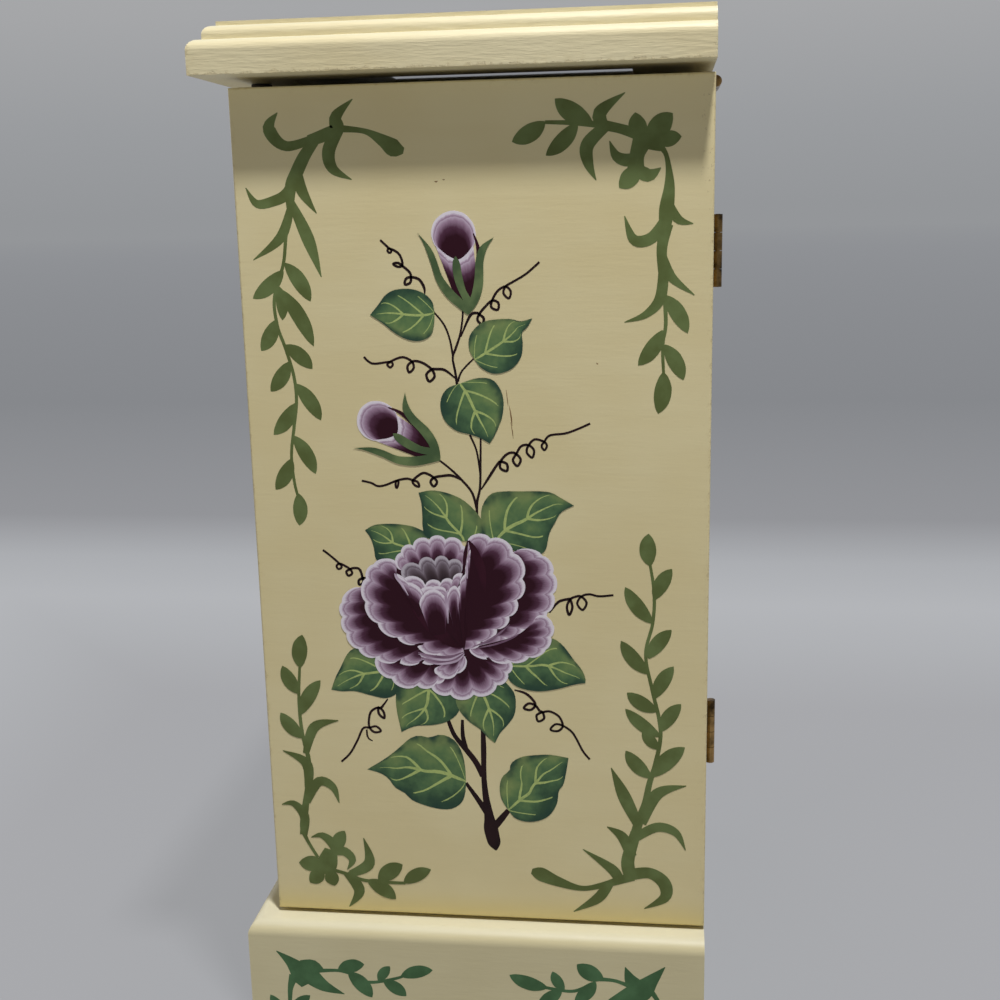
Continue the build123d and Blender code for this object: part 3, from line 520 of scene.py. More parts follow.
@dataclass(frozen=True)
class LeafEnamel(Enamel):
    """A shaded leaf: dark blue-green margins, a lighter side, and fine yellow-green veins on top."""

    shades: tuple = (
        (0.10, tint(59, 87, 64)), (0.36, tint(85, 117, 80)), (0.60, tint(109, 137, 87)),
        (0.88, tint(136, 154, 96)),
    )
    edge: tuple = tint(44, 72, 60)
    vein: tuple = tint(184, 202, 124)
    side_veins: float = 4.3

    def dress(self, graph: Graph) -> None:
        """Shading and veins from the leaf's own map: u across it, v from stalk to tip."""
        across, along = graph.parts(graph.node("UVMap").outputs[0])[:2]
        place = graph.place()
        streak = graph.noise(place, 520, 3, 0.65)
        cloud = graph.noise(place, 150, 2, 0.5)
        side = graph.math("SUBTRACT", across, 0.5)
        out = graph.math("ABSOLUTE", side)
        shade = graph.scaled(streak, 0.26, graph.scaled(side, 0.7, -0.14))
        shade = graph.scaled(cloud, 0.9, shade)
        colour = graph.ramp(shade, *self.shades)
        margin = graph.scaled(streak, 0.10, out)
        tip = graph.times(graph.spread(along, 0.80, 1.0), 0.85)
        edge = graph.math("MAXIMUM", graph.spread(margin, 0.36, 0.54), tip)
        edge = graph.times(edge, graph.spread(cloud, 0.36, 0.66, 0.95, 0.3))
        colour = graph.blend(edge, colour, self.edge)
        middle = graph.below(out, graph.scaled(along, -0.018, 0.030))
        middle = graph.times(middle, graph.below(along, 0.90))
        curve = graph.times(out, graph.scaled(out, 0.4, 0.55))
        rise = graph.math("SUBTRACT", along, curve)
        step = graph.math("FRACT", graph.scaled(rise, self.side_veins, 0.22))
        width = graph.scaled(out, -0.10, 0.076)
        off = graph.math("ABSOLUTE", graph.math("SUBTRACT", step, 0.5))
        inside = graph.below(graph.scaled(streak, 0.12, out), 0.44)
        short = graph.times(graph.below(rise, 0.74), inside)
        veins = graph.math("MAXIMUM", middle, graph.times(graph.below(off, width), short))
        thin = graph.spread(streak, 0.3, 0.6, 0.7, 1.0)
        colour = graph.blend(graph.times(veins, thin), colour, self.vein)
        self.film(graph, colour)


@dataclass(frozen=True)
class PetalEnamel(Enamel):
    """A petal brushed from a dark heart out to a pale rim, with a fainter line inside the rim."""

    heart: tuple = tint(48, 10, 26)
    middle: tuple = tint(88, 52, 74)
    mauve: tuple = tint(164, 134, 158)
    inner_rim: tuple = tint(204, 184, 204)
    rim: tuple = tint(240, 232, 242)
    # Where each shade lies between the heart, 0, and the rim, 1.
    stops: Point = (0.46, 0.63, 0.76, 0.86, 0.90, 0.95, 1.0)

    def dress(self, graph: Graph) -> None:
        """Colour from the petal's own map: u counts its scallops, v tells how near the rim is."""
        around, out = graph.parts(graph.node("UVMap").outputs[0])[:2]
        turned, spread = graph.times(around, 6.0), graph.times(out, 2.2)
        fan = graph.node("CombineXYZ", {0: turned, 1: spread})
        hairs = graph.noise(fan.outputs[0], 2.4, 4, 0.6)
        lobe = graph.math("ABSOLUTE", graph.math("SINE", graph.times(around, pi)))
        share = graph.scaled(hairs, 0.12, out)
        inner = graph.spread(out, 0.99, 0.80)
        share = graph.scaled(graph.times(lobe, inner), -0.10, share)
        shades = (self.heart, self.middle, self.mauve, self.inner_rim, self.mauve, self.inner_rim, self.rim)
        self.film(graph, graph.ramp(share, *zip(self.stops, shades)))


BRASS = Metal("brass", tint(204, 166, 98), tint(62, 46, 28), 0.26, 0.9)
AGED_BRASS = Metal("aged brass", tint(168, 134, 84), tint(30, 23, 17), 0.16, 1.0)
STEEL = Metal("nickel plated steel", tint(214, 214, 210), tint(150, 148, 142), 0.25, 0.4)
MOVEMENT_METAL = Metal("movement metal", tint(202, 196, 182), tint(140, 128, 104), 0.28, 0.5)
VELVET = Cloth("plum velvet")
FELT = Cloth("base felt", tint(92, 88, 84), tint(62, 58, 56), 3400.0, 0.2, 0.3, tint(160, 156, 150))
MIRROR = Mirror("mirror")
PLASTIC = ClearPlastic("clear plastic")
VINE = FlatEnamel("vine green")
BASE_VINE_GREEN = FlatEnamel("deep vine green", tint(70, 104, 68), tint(86, 124, 84))
STALK = FlatEnamel("stalk brown", tint(30, 14, 16), tint(42, 22, 24))
LEAF = LeafEnamel("shaded leaf")
SEPAL = FlatEnamel("sepal green", tint(76, 98, 64), tint(114, 134, 88))
PETAL = PetalEnamel("rose petal")
SHADED_PETAL = PetalEnamel(
    "shaded petal", tint(50, 36, 42), tint(76, 62, 68), tint(112, 98, 108), tint(150, 138, 150),
    tint(196, 188, 198),
)
HEART = FlatEnamel("rose heart", tint(46, 8, 24), tint(58, 16, 34))
LIP = FlatEnamel("petal lip", tint(240, 232, 242), tint(212, 196, 214))
MAUVE = FlatEnamel("folded petal", tint(116, 84, 108), tint(158, 130, 152))
PALE_EDGE = FlatEnamel("petal edge", tint(222, 206, 224), tint(178, 152, 176))
SCRATCH = FlatEnamel("scratch", tint(120, 88, 54), tint(160, 130, 92))


# Modelling.


@contextmanager
def editing(piece: Piece) -> Iterator[bmesh.types.BMesh]:
    """Opens a piece in edit mode, and closes it again after the block."""
    bpy.context.view_layer.objects.active = piece
    bpy.ops.object.mode_set(mode="EDIT")
    mesh = bmesh.from_edit_mesh(piece.data)
    yield mesh
    bmesh.update_edit_mesh(piece.data)
    bpy.ops.object.mode_set(mode="OBJECT")


def start(kind: str, name: str, **settings: object) -> Piece:
    """Adds a mesh primitive as the start of a piece.

    Args:
        kind: the primitive, such as "cube" or "grid".
        name: the piece's name.
        settings: the primitive's own sizes.

    Returns:
        The new piece, the only one selected.
    """
    if bpy.context.object and bpy.context.object.mode != "OBJECT":
        bpy.ops.object.mode_set(mode="OBJECT")
    bpy.ops.object.select_all(action="DESELECT")
    getattr(bpy.ops.mesh, f"primitive_{kind}_add")(**settings)
    piece = bpy.context.object
    piece.name = piece.data.name = name
    return piece


def sheet(name: str, columns: int, rows: int) -> Piece:
    """Adds a unit grid with its own map, as the start of a piece of cloth."""
    return start("grid", name, x_subdivisions=columns, y_subdivisions=rows, size=1, calc_uvs=True)


def pick(piece: Piece) -> None:
    """Selects one piece alone and makes it the active one."""
    bpy.ops.object.select_all(action="DESELECT")
    piece.select_set(True)
    bpy.context.view_layer.objects.active = piece


def empty(piece: Piece) -> None:
    """Clears a piece's mesh, to be filled stroke by stroke."""
    with editing(piece):
        bpy.ops.mesh.select_all(action="SELECT")
        bpy.ops.mesh.delete(type="VERT")


def twin(piece: Piece, name: str) -> Piece:
    """A copy of a piece with a mesh of its own."""
    copy = piece.copy()
    copy.data = piece.data.copy()
    copy.name = copy.data.name = name
    bpy.context.scene.collection.objects.link(copy)
    return copy


def modify(piece: Piece, kind: str, **settings: object) -> None:
    """Adds a modifier with its settings and applies it."""
    modifier = piece.modifiers.new(kind.lower(), kind)
    for name, value in settings.items():
        setattr(modifier, name, value)
    pick(piece)
    bpy.ops.object.modifier_apply(modifier=modifier.name)


def settle(piece: Piece) -> None:
    """Puts a piece's place into its mesh, so that its object sits at the origin."""
    pick(piece)
    bpy.ops.object.transform_apply(location=True, rotation=True, scale=True)


def smooth(piece: Piece, angle: float = 40.0) -> None:
    """Shades a piece smooth, except over edges sharper than the angle."""
    pick(piece)
    bpy.ops.object.shade_smooth_by_angle(angle=radians(angle))


def mirrored(piece: Piece, name: str) -> Piece:
    """A copy of a piece on the other side of the box, with its faces turned outwards again."""
    copy = twin(piece, name)
    copy.data.transform(Matrix.Diagonal((-1, 1, 1, 1)))
    copy.data.flip_normals()
    return copy


def spans(points: Run) -> list[float]:
    """The straight lengths from point to point."""
    return [dist(a[:2], b[:2]) for a, b in zip(points, points[1:])]


def flow(points: Run, share: float) -> list[float]:
    """A place on the smooth line through some points.

    Args:
        points: the points, each a place and any values that go with it.
        share: how far along the line, from 0 to 1.

    Returns:
        The place there, with its values.
    """
    lengths = spans(points)
    left = share * sum(lengths)
    index = 0
    while index < len(lengths) - 1 and left > lengths[index]:
        left -= lengths[index]
        index += 1
    s = min(left / lengths[index], 1.0) if lengths[index] else 0.0
    before = points[max(index - 1, 0)]
    a, b = points[index], points[index + 1]
    after = points[min(index + 2, len(points) - 1)]
    return [
        0.5 * (
            2 * q + (r - p) * s + (2 * p - 5 * q + 4 * r - t) * s * s + (3 * q - p - 3 * r + t) * s * s * s
        )
        for p, q, r, t in zip(before, a, b, after)
    ]


@dataclass(frozen=True)
class Side:
    """A flat painted face: its corner in millimetres, and which ways its table runs."""

    corner: Point
    across: Point
    up: Point

    def point(self, y: float, z: float, lift: float) -> Vector:
        """The point in metres at table place y, z, and so far off the face in millimetres."""
        out = Vector(self.across).cross(Vector(self.up))
        return (Vector(self.corner) + Vector(self.across) * y + Vector(self.up) * z + out * lift) * MM


class Brush:
    """Lays strokes of paint on one face, each a flat grid that follows its line."""

    film = 0.05
    coat = 0.004
    fade = 17.0
    leaf_shape = ((0, 0.12), (0.14, 0.60), (0.38, 0.98), (0.66, 0.94), (0.88, 0.52), (1.0, 0.02))
    leaf_plumpness = 0.42
    least_rows, most_rows = 6, 220
    hair = 0.12
    lobe_steps = 8
    taper = 0.2
    # A sprig's stem, its width and how much it thins, and how its leaves lean, shrink, bend and alternate.
    stem_width, stem_thins = 1.6, 0.8
    leaf_ahead, leaf_aside = 0.7, 0.75
    leaf_shrinks, leaf_bend, leaf_stagger = 0.25, 0.06, 0.03

    def __init__(self, name: str, side: Side, height: float = 0.02) -> None:
        """Opens a new piece for the strokes.

        Args:
            name: the piece's name.
            side: the face that it lies on.
            height: how far the first stroke stands off the face, in millimetres.
        """
        self.side = side
        self.height = height
        self.piece = start("grid", name, x_subdivisions=1, y_subdivisions=1, size=1)
        empty(self.piece)

    def lay(
        self,
        place: Callable[[float, float], Point],
        columns: int,
        rows: int,
        lobes: float = 1,
        reach: Callable[[float], float] | None = None,
    ) -> None:
        """Lays one stroke.

        Args:
            place: gives the table place for a share across and a share along.
            columns: how many faces across.
            rows: how many faces along.
            lobes: how many times the map's u runs over its width.
            reach: where the map's v counts back from the far end, how much of it the stroke takes there.
        """
        with editing(self.piece) as mesh:
            bpy.ops.mesh.select_all(action="DESELECT")
            bpy.ops.mesh.primitive_grid_add(
                x_subdivisions=columns, y_subdivisions=rows, size=1, calc_uvs=True
            )
            chart = mesh.loops.layers.uv.verify()
            for face in mesh.faces:
                if face.select:
                    for loop in face.loops:
                        u, v = loop.vert.co.x + 0.5, loop.vert.co.y + 0.5
                        if reach:
                            v = 1 - (1 - v) * reach(u)
                        loop[chart].uv = (u * lobes, v)
            for vert in mesh.verts:
                if vert.select:
                    y, z = place(vert.co.x + 0.5, vert.co.y + 0.5)
                    vert.co = self.side.point(y, z, self.height)
        self.height += self.coat

    def line(self, points: Run, columns: int = 2, step: float = 1.1) -> None:
        """Lays a stroke along points, each a place and the stroke's width there.

        Args:
            points: the places, with the width at each.
            columns: how many faces across.
            step: about how long each face is.
        """
        rows = max(self.least_rows, min(self.most_rows, int(sum(spans(points)) / step)))

        def place(across: float, along: float) -> Point:
            """The table place across and along the stroke."""
            y, z, width = flow(points, along)
            back, ahead = flow(points, max(along - 0.01, 0)), flow(points, min(along + 0.01, 1))
            dy, dz = ahead[0] - back[0], ahead[1] - back[1]
            size = hypot(dy, dz) or 1.0
            reach = (across - 0.5) * max(width, self.hair)
            return y + dz / size * reach, z - dy / size * reach

        self.lay(place, columns, rows)

    def leaf(self, root: Point, tip: Point, width: float, bend: float = 0.0) -> None:
        """Lays a small leaf from its root to its tip, pointed at both ends."""
        dy, dz = tip[0] - root[0], tip[1] - root[1]
        run = []
        for share, part in self.leaf_shape:
            sway = bend * sin(pi * share)
            run.append((root[0] + dy * share - dz * sway, root[1] + dz * share + dy * sway, width * part))
        self.line(run, 4, 0.6)

    def patch(self, left: Run, right: Run, columns: int = 8, rows: int = 20) -> None:
        """Lays a shape between its two edges, both drawn from its root to its tip."""

        def place(across: float, along: float) -> Point:
            """The table place between the edges."""
            (a, b), (c, d) = flow(left, along), flow(right, along)
            return a + (c - a) * across, b + (d - b) * across

        self.lay(place, columns, rows)

    def petal(self, heart: Run, cusps: Run, swell: float = 0.3, whole: bool = False) -> None:
        """Lays a petal between its heart and its scalloped rim.

        Args:
            heart: the points along its dark end.
            cusps: the points of its rim where one scallop meets the next, the same way round.
            swell: how far each scallop swells, as a share of its width.
            whole: shade it as one lobe and not scallop by scallop.
        """
        lobes = len(cusps) - 1
        middle_y, middle_z = (sum(point[axis] for point in heart) / len(heart) for axis in (0, 1))
        turn = sum(
            (b[1] - a[1]) * (a[0] + b[0] - 2 * middle_y) - (b[0] - a[0]) * (a[1] + b[1] - 2 * middle_z)
            for a, b in zip(cusps, cusps[1:])
        )
        way = 1 if turn > 0 else -1

        def ends(across: float) -> tuple[Point, Point]:
            """The stroke's place at the heart and at the rim."""
            near = flow(heart, across) if len(heart) > 1 else heart[0]
            index = min(int(across * lobes), lobes - 1)
            share = across * lobes - index
            (a, b), (c, d) = cusps[index], cusps[index + 1]
            bulge = way * swell * max(4 * share * (1 - share), 0.0) ** 0.7
            return near, (a + (c - a) * share + (d - b) * bulge, b + (d - b) * share - (c - a) * bulge)

        def place(across: float, along: float) -> Point:
            """The table place round and out from the heart."""
            near, far = ends(across)
            return near[0] + (far[0] - near[0]) * along, near[1] + (far[1] - near[1]) * along

        def reach(across: float) -> float:
            """The petal's length there, as a share of the length over which the brush fades."""
            near, far = ends(across)
            return dist(near, far) / self.fade

        self.lay(place, lobes * self.lobe_steps, self.lobe_steps, 1 if whole else lobes, reach)

    def tendril(self, run: Run, weight: float = 1.0) -> None:
        """Lays a thin curling tendril.

        Args:
            run: the points that it passes, and loops: a crossing place, the loop's far end and its breadth.
            weight: the tendril's width at its thick end.
        """
        path: list[Point] = []
        for index, (y, z, *loop) in enumerate(run):
            path.append((y, z))
            if loop:
                tip_y, tip_z, breadth = loop
                before, after = run[index - 1], run[min(index + 1, len(run) - 1)]
                dy, dz = tip_y - y, tip_z - z
                half = breadth / 2 / hypot(dy, dz)
                if (after[0] - before[0]) * -dz + (after[1] - before[1]) * dy < 0:
                    half = -half
                mid_y, mid_z, off_y, off_z = y + dy * 0.5, z + dz * 0.5, dz * half, dy * half
                sides = (mid_y - off_y, mid_z + off_z), (mid_y + off_y, mid_z - off_z)
                path += [sides[0], (tip_y, tip_z), sides[1], (y, z)]
        last = len(path) - 1
        weights = [weight * (1 - self.taper * i / last) * (0.5 if i == 0 else 1) for i in range(last + 1)]
        self.line([(y, z, w) for (y, z), w in zip(path, weights)], 2, 0.45)

    def sprig(self, root: Point, tip: Point, pairs: int, leaf: float, bend: float = 0.06) -> None:
        """Lays a fine stem with leaves in pairs along it and one at its end."""
        dy, dz = tip[0] - root[0], tip[1] - root[1]
        length = hypot(dy, dz)
        ahead_y, ahead_z = dy / length, dz / length
        stem = []
        for step in range(7):
            share = step / 6
            sway = bend * sin(2 * pi * share)
            y, z = root[0] + dy * share - dz * sway, root[1] + dz * share + dy * sway
            stem.append((y, z, self.stem_width - self.stem_thins * share))
        self.line(stem, 2)
        for number in range(pairs):
            share = (number + 0.8) / (pairs + 0.6)
            for side in (-1, 1):
                y, z = flow(stem, min(share + self.leaf_stagger * side, 1.0))[:2]
                out_y = ahead_y * self.leaf_ahead - ahead_z * side * self.leaf_aside
                out_z = ahead_z * self.leaf_ahead + ahead_y * side * self.leaf_aside
                size = leaf * (1.0 - self.leaf_shrinks * share)
                end = (y + out_y * size, z + out_z * size)
                self.leaf((y, z), end, size * self.leaf_plumpness, self.leaf_bend * side)
        y, z = stem[-1][:2]
        self.leaf((y, z), (y + ahead_y * leaf, z + ahead_z * leaf), leaf * self.leaf_plumpness)

    def finish(self, finish: Finish, body: str) -> Piece:
        """Thickens the strokes into closed films and puts them on their body."""
        modify(self.piece, "SOLIDIFY", thickness=self.film * MM, offset=-1.0)
        finish.apply(self.piece)
        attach(self.piece, body)
        return self.piece


# Painted ornament.

THIN_COAT = 0.0012
RIGHT_FACE = Side((115, -83.5, 73.5), (0, 1, 0), (0, 0, 1))
BASE_FACE = Side((125, -83.5, 73.5), (0, 1, 0), (0, 0, 1))

# Vine strokes on a door, as y from its front edge, z from its foot, and width there.
UPPER_FRONT_VINE = (
    ((17.3, 303.3, 0.3), (14, 298, 4.5), (20, 292, 3.4), (33, 295.5, 2.6)),
    ((28, 293.5, 4), (34, 295.5, 4.4), (38, 297, 5.2), (38, 301.5, 4), (44, 307, 0.3)),
    ((38.5, 297, 4), (34.8, 290, 4.6), (36, 284, 3.6), (42.5, 280.2, 0.3)),
    ((40, 297.3, 2.4), (48, 296.2, 1.9), (54, 293, 4.2), (57.8, 290.4, 6), (61.2, 289.4, 2)),
    ((31, 294.5, 3), (26.4, 289, 4.2), (23, 283, 4.6), (20.6, 278, 4.2), (20, 271, 2.6)),
    ((23, 283, 2.6), (19, 276, 3.8), (14, 273.5, 3.6), (8, 272.8, 2.8), (4.4, 278.3, 0.3)),
    ((23.5, 284, 2.6), (24.5, 277, 4), (29.4, 269, 0.3)),
    ((20.5, 272, 2.4), (16, 261, 3.6), (5.6, 253.3, 0.3)),
    ((20.5, 273, 2.6), (26, 260, 4.5), (30, 247, 0.3)),
    ((20, 273, 1.6), (18, 262, 1.3), (16.5, 252, 1.2), (12.5, 240, 1.2), (13, 230, 1.2), (15.5, 222, 1.2),
     (18, 212, 1.2), (18.5, 203, 1.2), (17, 193, 1.2), (15.5, 183, 1.1), (16, 173, 1.1), (17.2, 167, 1)),
)
UPPER_FRONT_LEAVES = (
    (16.2, 249.5, 4.6, 239.8, 5), (17, 252, 25.6, 238.5, 5), (14.2, 244, 15, 232, 4),
    (14.5, 243, 25.9, 222.6, 5), (12.5, 232, 6.5, 221.1, 5), (15.5, 223, 25, 214.5, 5),
    (16.5, 217, 9.1, 206.4, 5), (18.5, 209, 27.2, 195.8, 5), (18.2, 202, 9.3, 190.5, 5),
    (16.5, 190, 24.2, 176, 5), (15.5, 181.5, 8.8, 170, 5), (17.2, 168.5, 17, 156.5, 5),
)
UPPER_BACK_VINE = (
    ((110, 297.5, 1.2), (120, 297, 1.7), (130, 296, 2.4)),
    ((130.5, 294.5, 3.4), (128.6, 300, 4.6), (137, 306.3, 0.3)),
    ((131.5, 296.5, 3.4), (124.5, 290, 4.6), (124.5, 284, 3.6), (127.2, 278, 0.3)),
    ((128, 296.3, 3.6), (135, 294.8, 3.2), (142, 292.5, 4)),
    ((141.5, 293, 7), (145.5, 290.6, 6), (149.5, 288.6, 3.6)),
    ((143, 291, 7), (141, 286, 5), (140.6, 281, 6)),
    ((141.5, 285, 4), (137.4, 284.4, 4.2), (133.9, 286, 3.2), (131.8, 290.8, 0.3)),
    ((140.5, 281.5, 4), (145, 279.3, 4.4), (149, 281.6, 0.4)),
    ((147.6, 289.6, 3), (150.4, 286.6, 1.6), (151.6, 281.6, 2.0), (151.9, 275.4, 3.6), (151, 268, 5),
     (150.6, 262, 4)),
    ((151.5, 270, 3), (155, 264.5, 3), (160, 263, 0.3)),
    ((151, 265, 3.4), (146, 258.5, 4), (140, 258, 3.5), (136.8, 266, 0.3)),
    ((151.2, 263, 4.2), (149.5, 255, 3.6), (150, 246, 3.2)),
    ((149.5, 252, 3.5), (153, 245, 3.2), (160.7, 239, 0.3)),
    ((150.2, 248, 3.5), (149, 238, 3.8), (144, 232.5, 2.5), (136.8, 230, 0.3)),
    ((150, 246, 1.6), (151, 230, 1.3), (150, 222, 1.2), (150.4, 211, 1)),
)
UPPER_BACK_LEAVES = (
    (110, 297.6, 98.7, 291.4, 5.5), (121, 297, 110.2, 286.6, 5), (126, 296.8, 113.5, 305, 6),
    (143, 290.5, 140.4, 299.8, 5.6), (145, 290, 152.8, 299.2, 6.6), (147.5, 289.6, 155.8, 291.6, 4.8),
    (141.5, 282.5, 135, 275.4, 5.6), (150.5, 239, 158.5, 226, 5), (150, 227, 141.5, 215, 5),
    (150.5, 222, 157.2, 209.8, 5), (150.3, 212.5, 148.5, 198, 5.5),
)
LOWER_BACK_VINE = (
    ((146, 143, 1), (147.5, 132, 1.2), (147, 121, 1.2), (144.5, 109, 1.2), (147, 95, 1.3), (149.5, 84, 1.4),
     (150, 76, 1.5), (148, 65, 1.8), (146, 58, 2.2), (144.5, 50, 2.6), (142, 42, 3.4), (139, 30, 4.2)),
    ((142, 41, 3.5), (136.5, 53, 4.8), (131.8, 64, 0.3)),
    ((143, 42, 4), (149, 54, 4.5), (159.7, 57.7, 0.3)),
    ((141, 36, 3.5), (149, 40.5, 3.8), (156, 38.5, 3), (159.7, 31.5, 0.3)),
    ((139.5, 28, 4), (136, 36, 4), (130.2, 40, 0.3)),
    ((141, 38, 4), (138, 26, 5), (139.5, 19, 5)),
    ((137, 20, 5), (146, 21.5, 4.5), (151.8, 17.5, 5), (152, 11.5, 4), (144.3, 6.5, 0.3)),
    ((140, 20, 4), (128, 15.5, 2.4), (120, 14, 2.2), (111, 16.5, 4.2), (104.5, 19.3, 5.6),
     (101.2, 20.3, 2)),
    ((135, 17.5, 3.5), (132, 22.5, 4), (121, 30.3, 0.3)),
    ((131, 16.5, 3.5), (126.5, 10, 4), (117.3, 4, 0.3)),
)
LOWER_BACK_LEAVES = (
    (146, 142.6, 145.4, 154.5, 5.5), (147.6, 130, 153.8, 141.5, 5), (147, 121, 137, 134.5, 5),
    (145.5, 107.5, 153.8, 118.5, 5), (145.5, 101.5, 135.5, 114, 5), (147.8, 92, 154.7, 104.5, 5),
    (148.8, 87, 137.7, 94, 5), (150, 79, 157.5, 90, 5), (150, 77, 137.1, 87.6, 4.5),
    (149.6, 72, 143.5, 79.5, 4), (146.6, 60.5, 137.2, 71, 5), (147.5, 61, 159, 73, 6),
)
LOWER_FRONT_VINE = (
    ((14, 101, 1), (13, 88, 1.2), (13.5, 75, 1.4), (15.5, 63, 1.8), (14.5, 52, 2.2), (13, 43, 2.8),
     (11.8, 35, 2.6), (13, 30, 1.4), (17, 22.5, 1.2)),
    ((14.5, 66, 2.4), (18.5, 77, 4), (28, 80, 0.3)),
    ((14.8, 52, 3), (14.5, 62, 4), (5.5, 67, 0.3)),
    ((13.8, 46, 3), (19, 54.5, 3.8), (24.5, 52.5, 3), (26.7, 46, 0.3)),
    ((11.8, 32, 3), (12.5, 40, 3.8), (8.5, 45, 2.6), (3.8, 44.5, 0.3)),
    ((22.4, 26, 5), (20.8, 20.6, 8), (19, 15.6, 7)),
    ((25.4, 24.4, 4), (23, 29, 4), (19, 32, 2.5), (14.8, 31, 0.3)),
    ((23.4, 25.6, 4), (28, 25.4, 3.8), (30.8, 22, 3), (28.6, 17.8, 0.3)),
    ((22.4, 17.5, 1.4), (28, 16, 1.4), (35, 13.5, 1.4), (45, 13, 1.3), (51.5, 13, 1.2)),
    ((30, 16, 3), (37.5, 21, 4.4), (35.7, 31.5, 0.3)),
    ((28.5, 16.5, 3.5), (33, 9, 4.4), (28.7, 1.8, 0.3)),
)
LOWER_FRONT_LEAVES = (
    (14.2, 101, 15.7, 114, 5.5), (13.2, 90.5, 7.3, 101.5, 5), (13.3, 82, 21.8, 96, 5),
    (13.6, 72.5, 5.5, 82.5, 5), (24, 25, 28.3, 34.2, 5), (19.5, 20.5, 9.3, 20, 6),
    (18.5, 17.5, 13.2, 11.6, 5.4), (20.5, 17, 23.2, 10.6, 5.2), (41, 13.5, 50.7, 20.8, 6),
    (51, 13, 61.8, 19.2, 5), (36.5, 13.5, 47.5, 6, 5.5),
)
BASE_VINE = (
    ((1, -13, 0.3), (6.4, -17.4, 4.4), (11, -22.6, 9.4), (13.4, -26.6, 7)),
    ((7.6, -23.4, 4), (5.8, -29, 2.2), (5.2, -37, 1.4)),
    ((11, -19.5, 6), (15.5, -18.4, 4.6), (19, -20.5, 2)),
    ((13.6, -22.6, 8), (19.4, -27.2, 5), (27.5, -30.4, 0.3)),
    ((17, -20.8, 1.8), (25, -20.2, 1.3), (30, -21, 1.6)),
    ((33, -24.6, 1.6), (40, -24.5, 1.3), (48, -22.5, 1.2), (51.5, -21.2, 1)),
    ((5.4, -35, 1.6), (4.6, -42, 1.4), (7, -50, 1.2), (11, -57, 1)),
    ((152.3, -11.8, 0.3), (147.5, -17.5, 5), (143, -22.5, 9), (138, -24.5, 6), (131, -26.8, 0.3)),
    ((137.3, -12.6, 0.3), (139.5, -18, 5), (143, -22, 7)),
    ((145.5, -20, 2.4), (150, -27, 1.6), (152, -35, 1.4), (151, -45, 1.2), (147.5, -53, 1)),
    ((139.5, -20.8, 1.8), (133.5, -18.6, 1.4), (127, -18.2, 1.8)),
    ((124, -21, 1.6), (117, -24, 1.3), (107, -23, 1.3)),
)
BASE_LEAVES = (
    (25.5, -20, 36, -17, 5.2), (29.5, -20.8, 38.6, -31.2, 5.6), (41.5, -24, 46.2, -17.3, 3.8),
    (43.5, -24, 52.2, -29.8, 4.8), (50.5, -21.4, 63, -18, 4.8), (4.8, -42, -2.5, -32.4, 4.4),
    (5, -41, 13.6, -31.8, 4.4), (6, -48, 15, -43, 4.2), (7.5, -51, 0.5, -57, 4.2),
    (10.5, -56.5, 17, -62, 4.6), (129, -18, 119, -12.4, 6), (126, -19.5, 118, -28.6, 5),
    (114, -23.8, 109.6, -16, 4), (113, -23.6, 104, -29.6, 4.6), (107.5, -23, 93, -18.4, 5.2),
    (151.6, -38, 159, -30, 4.4), (151.8, -39, 143, -33, 4.4), (150.6, -46, 158, -51, 4.2),
    (149.5, -49, 141, -47, 4.2), (148, -52.5, 143, -60.5, 4.6),
)

STALKS = (
    ((87.6, 28.4, 0.5), (87.1, 31, 4.6), (86.3, 34.6, 5.4), (85.7, 38.1, 5.4), (85.3, 41.7, 4.0),
     (84.6, 46.7, 3.0), (84, 51.7, 2.4), (83.6, 57.4, 2.1), (83.6, 63.1, 2), (83.7, 70.3, 2.1),
     (83.6, 80, 1.6), (83, 92, 1.4)),
    ((87, 38, 2.8), (89.9, 41.7, 2.6), (92.7, 45.3, 1.9)),
    ((85, 43, 2.6), (81.3, 48.9, 2.0), (76.6, 56, 1.3)),
    ((83.2, 59, 2.3), (80.6, 64.6, 2.2), (77, 69.6, 2.1), (72.7, 75.3, 1.7), (70.4, 81.5, 1.5)),
    ((77, 69.6, 1.9), (75.9, 75.3, 1.6), (75.9, 81.6, 1.1)),
    ((83.4, 158, 1), (83.6, 165.6, 1), (84.8, 171, 0.9), (85.2, 180, 0.8), (85.5, 190, 0.7)),
    ((85, 176, 0.7), (84.6, 180, 0.7), (83.7, 185.3, 0.7), (81.6, 190.4, 0.8)),
    ((83.5, 163, 1), (81.9, 169.1, 0.9), (78.3, 173.8, 0.9), (74, 178.1, 0.8), (70, 181.3, 0.7)),
    ((77.8, 206, 1.1), (77, 212.7, 0.9), (76.2, 218, 0.8), (77.3, 221.3, 0.9), (79, 226, 0.8),
     (80, 231.3, 0.7), (80.3, 235.4, 0.7)),
    ((76.3, 218.5, 0.8), (75.3, 224.7, 0.7), (73.3, 230, 0.7), (69.8, 234.4, 0.6)),
    ((77.8, 209.6, 0.8), (79.3, 213.3, 0.7), (83.6, 217.7, 0.6)),
    ((38.9, 76.6, 0.7), (39.2, 73.4, 0.7), (41, 72, 0.4)),
)
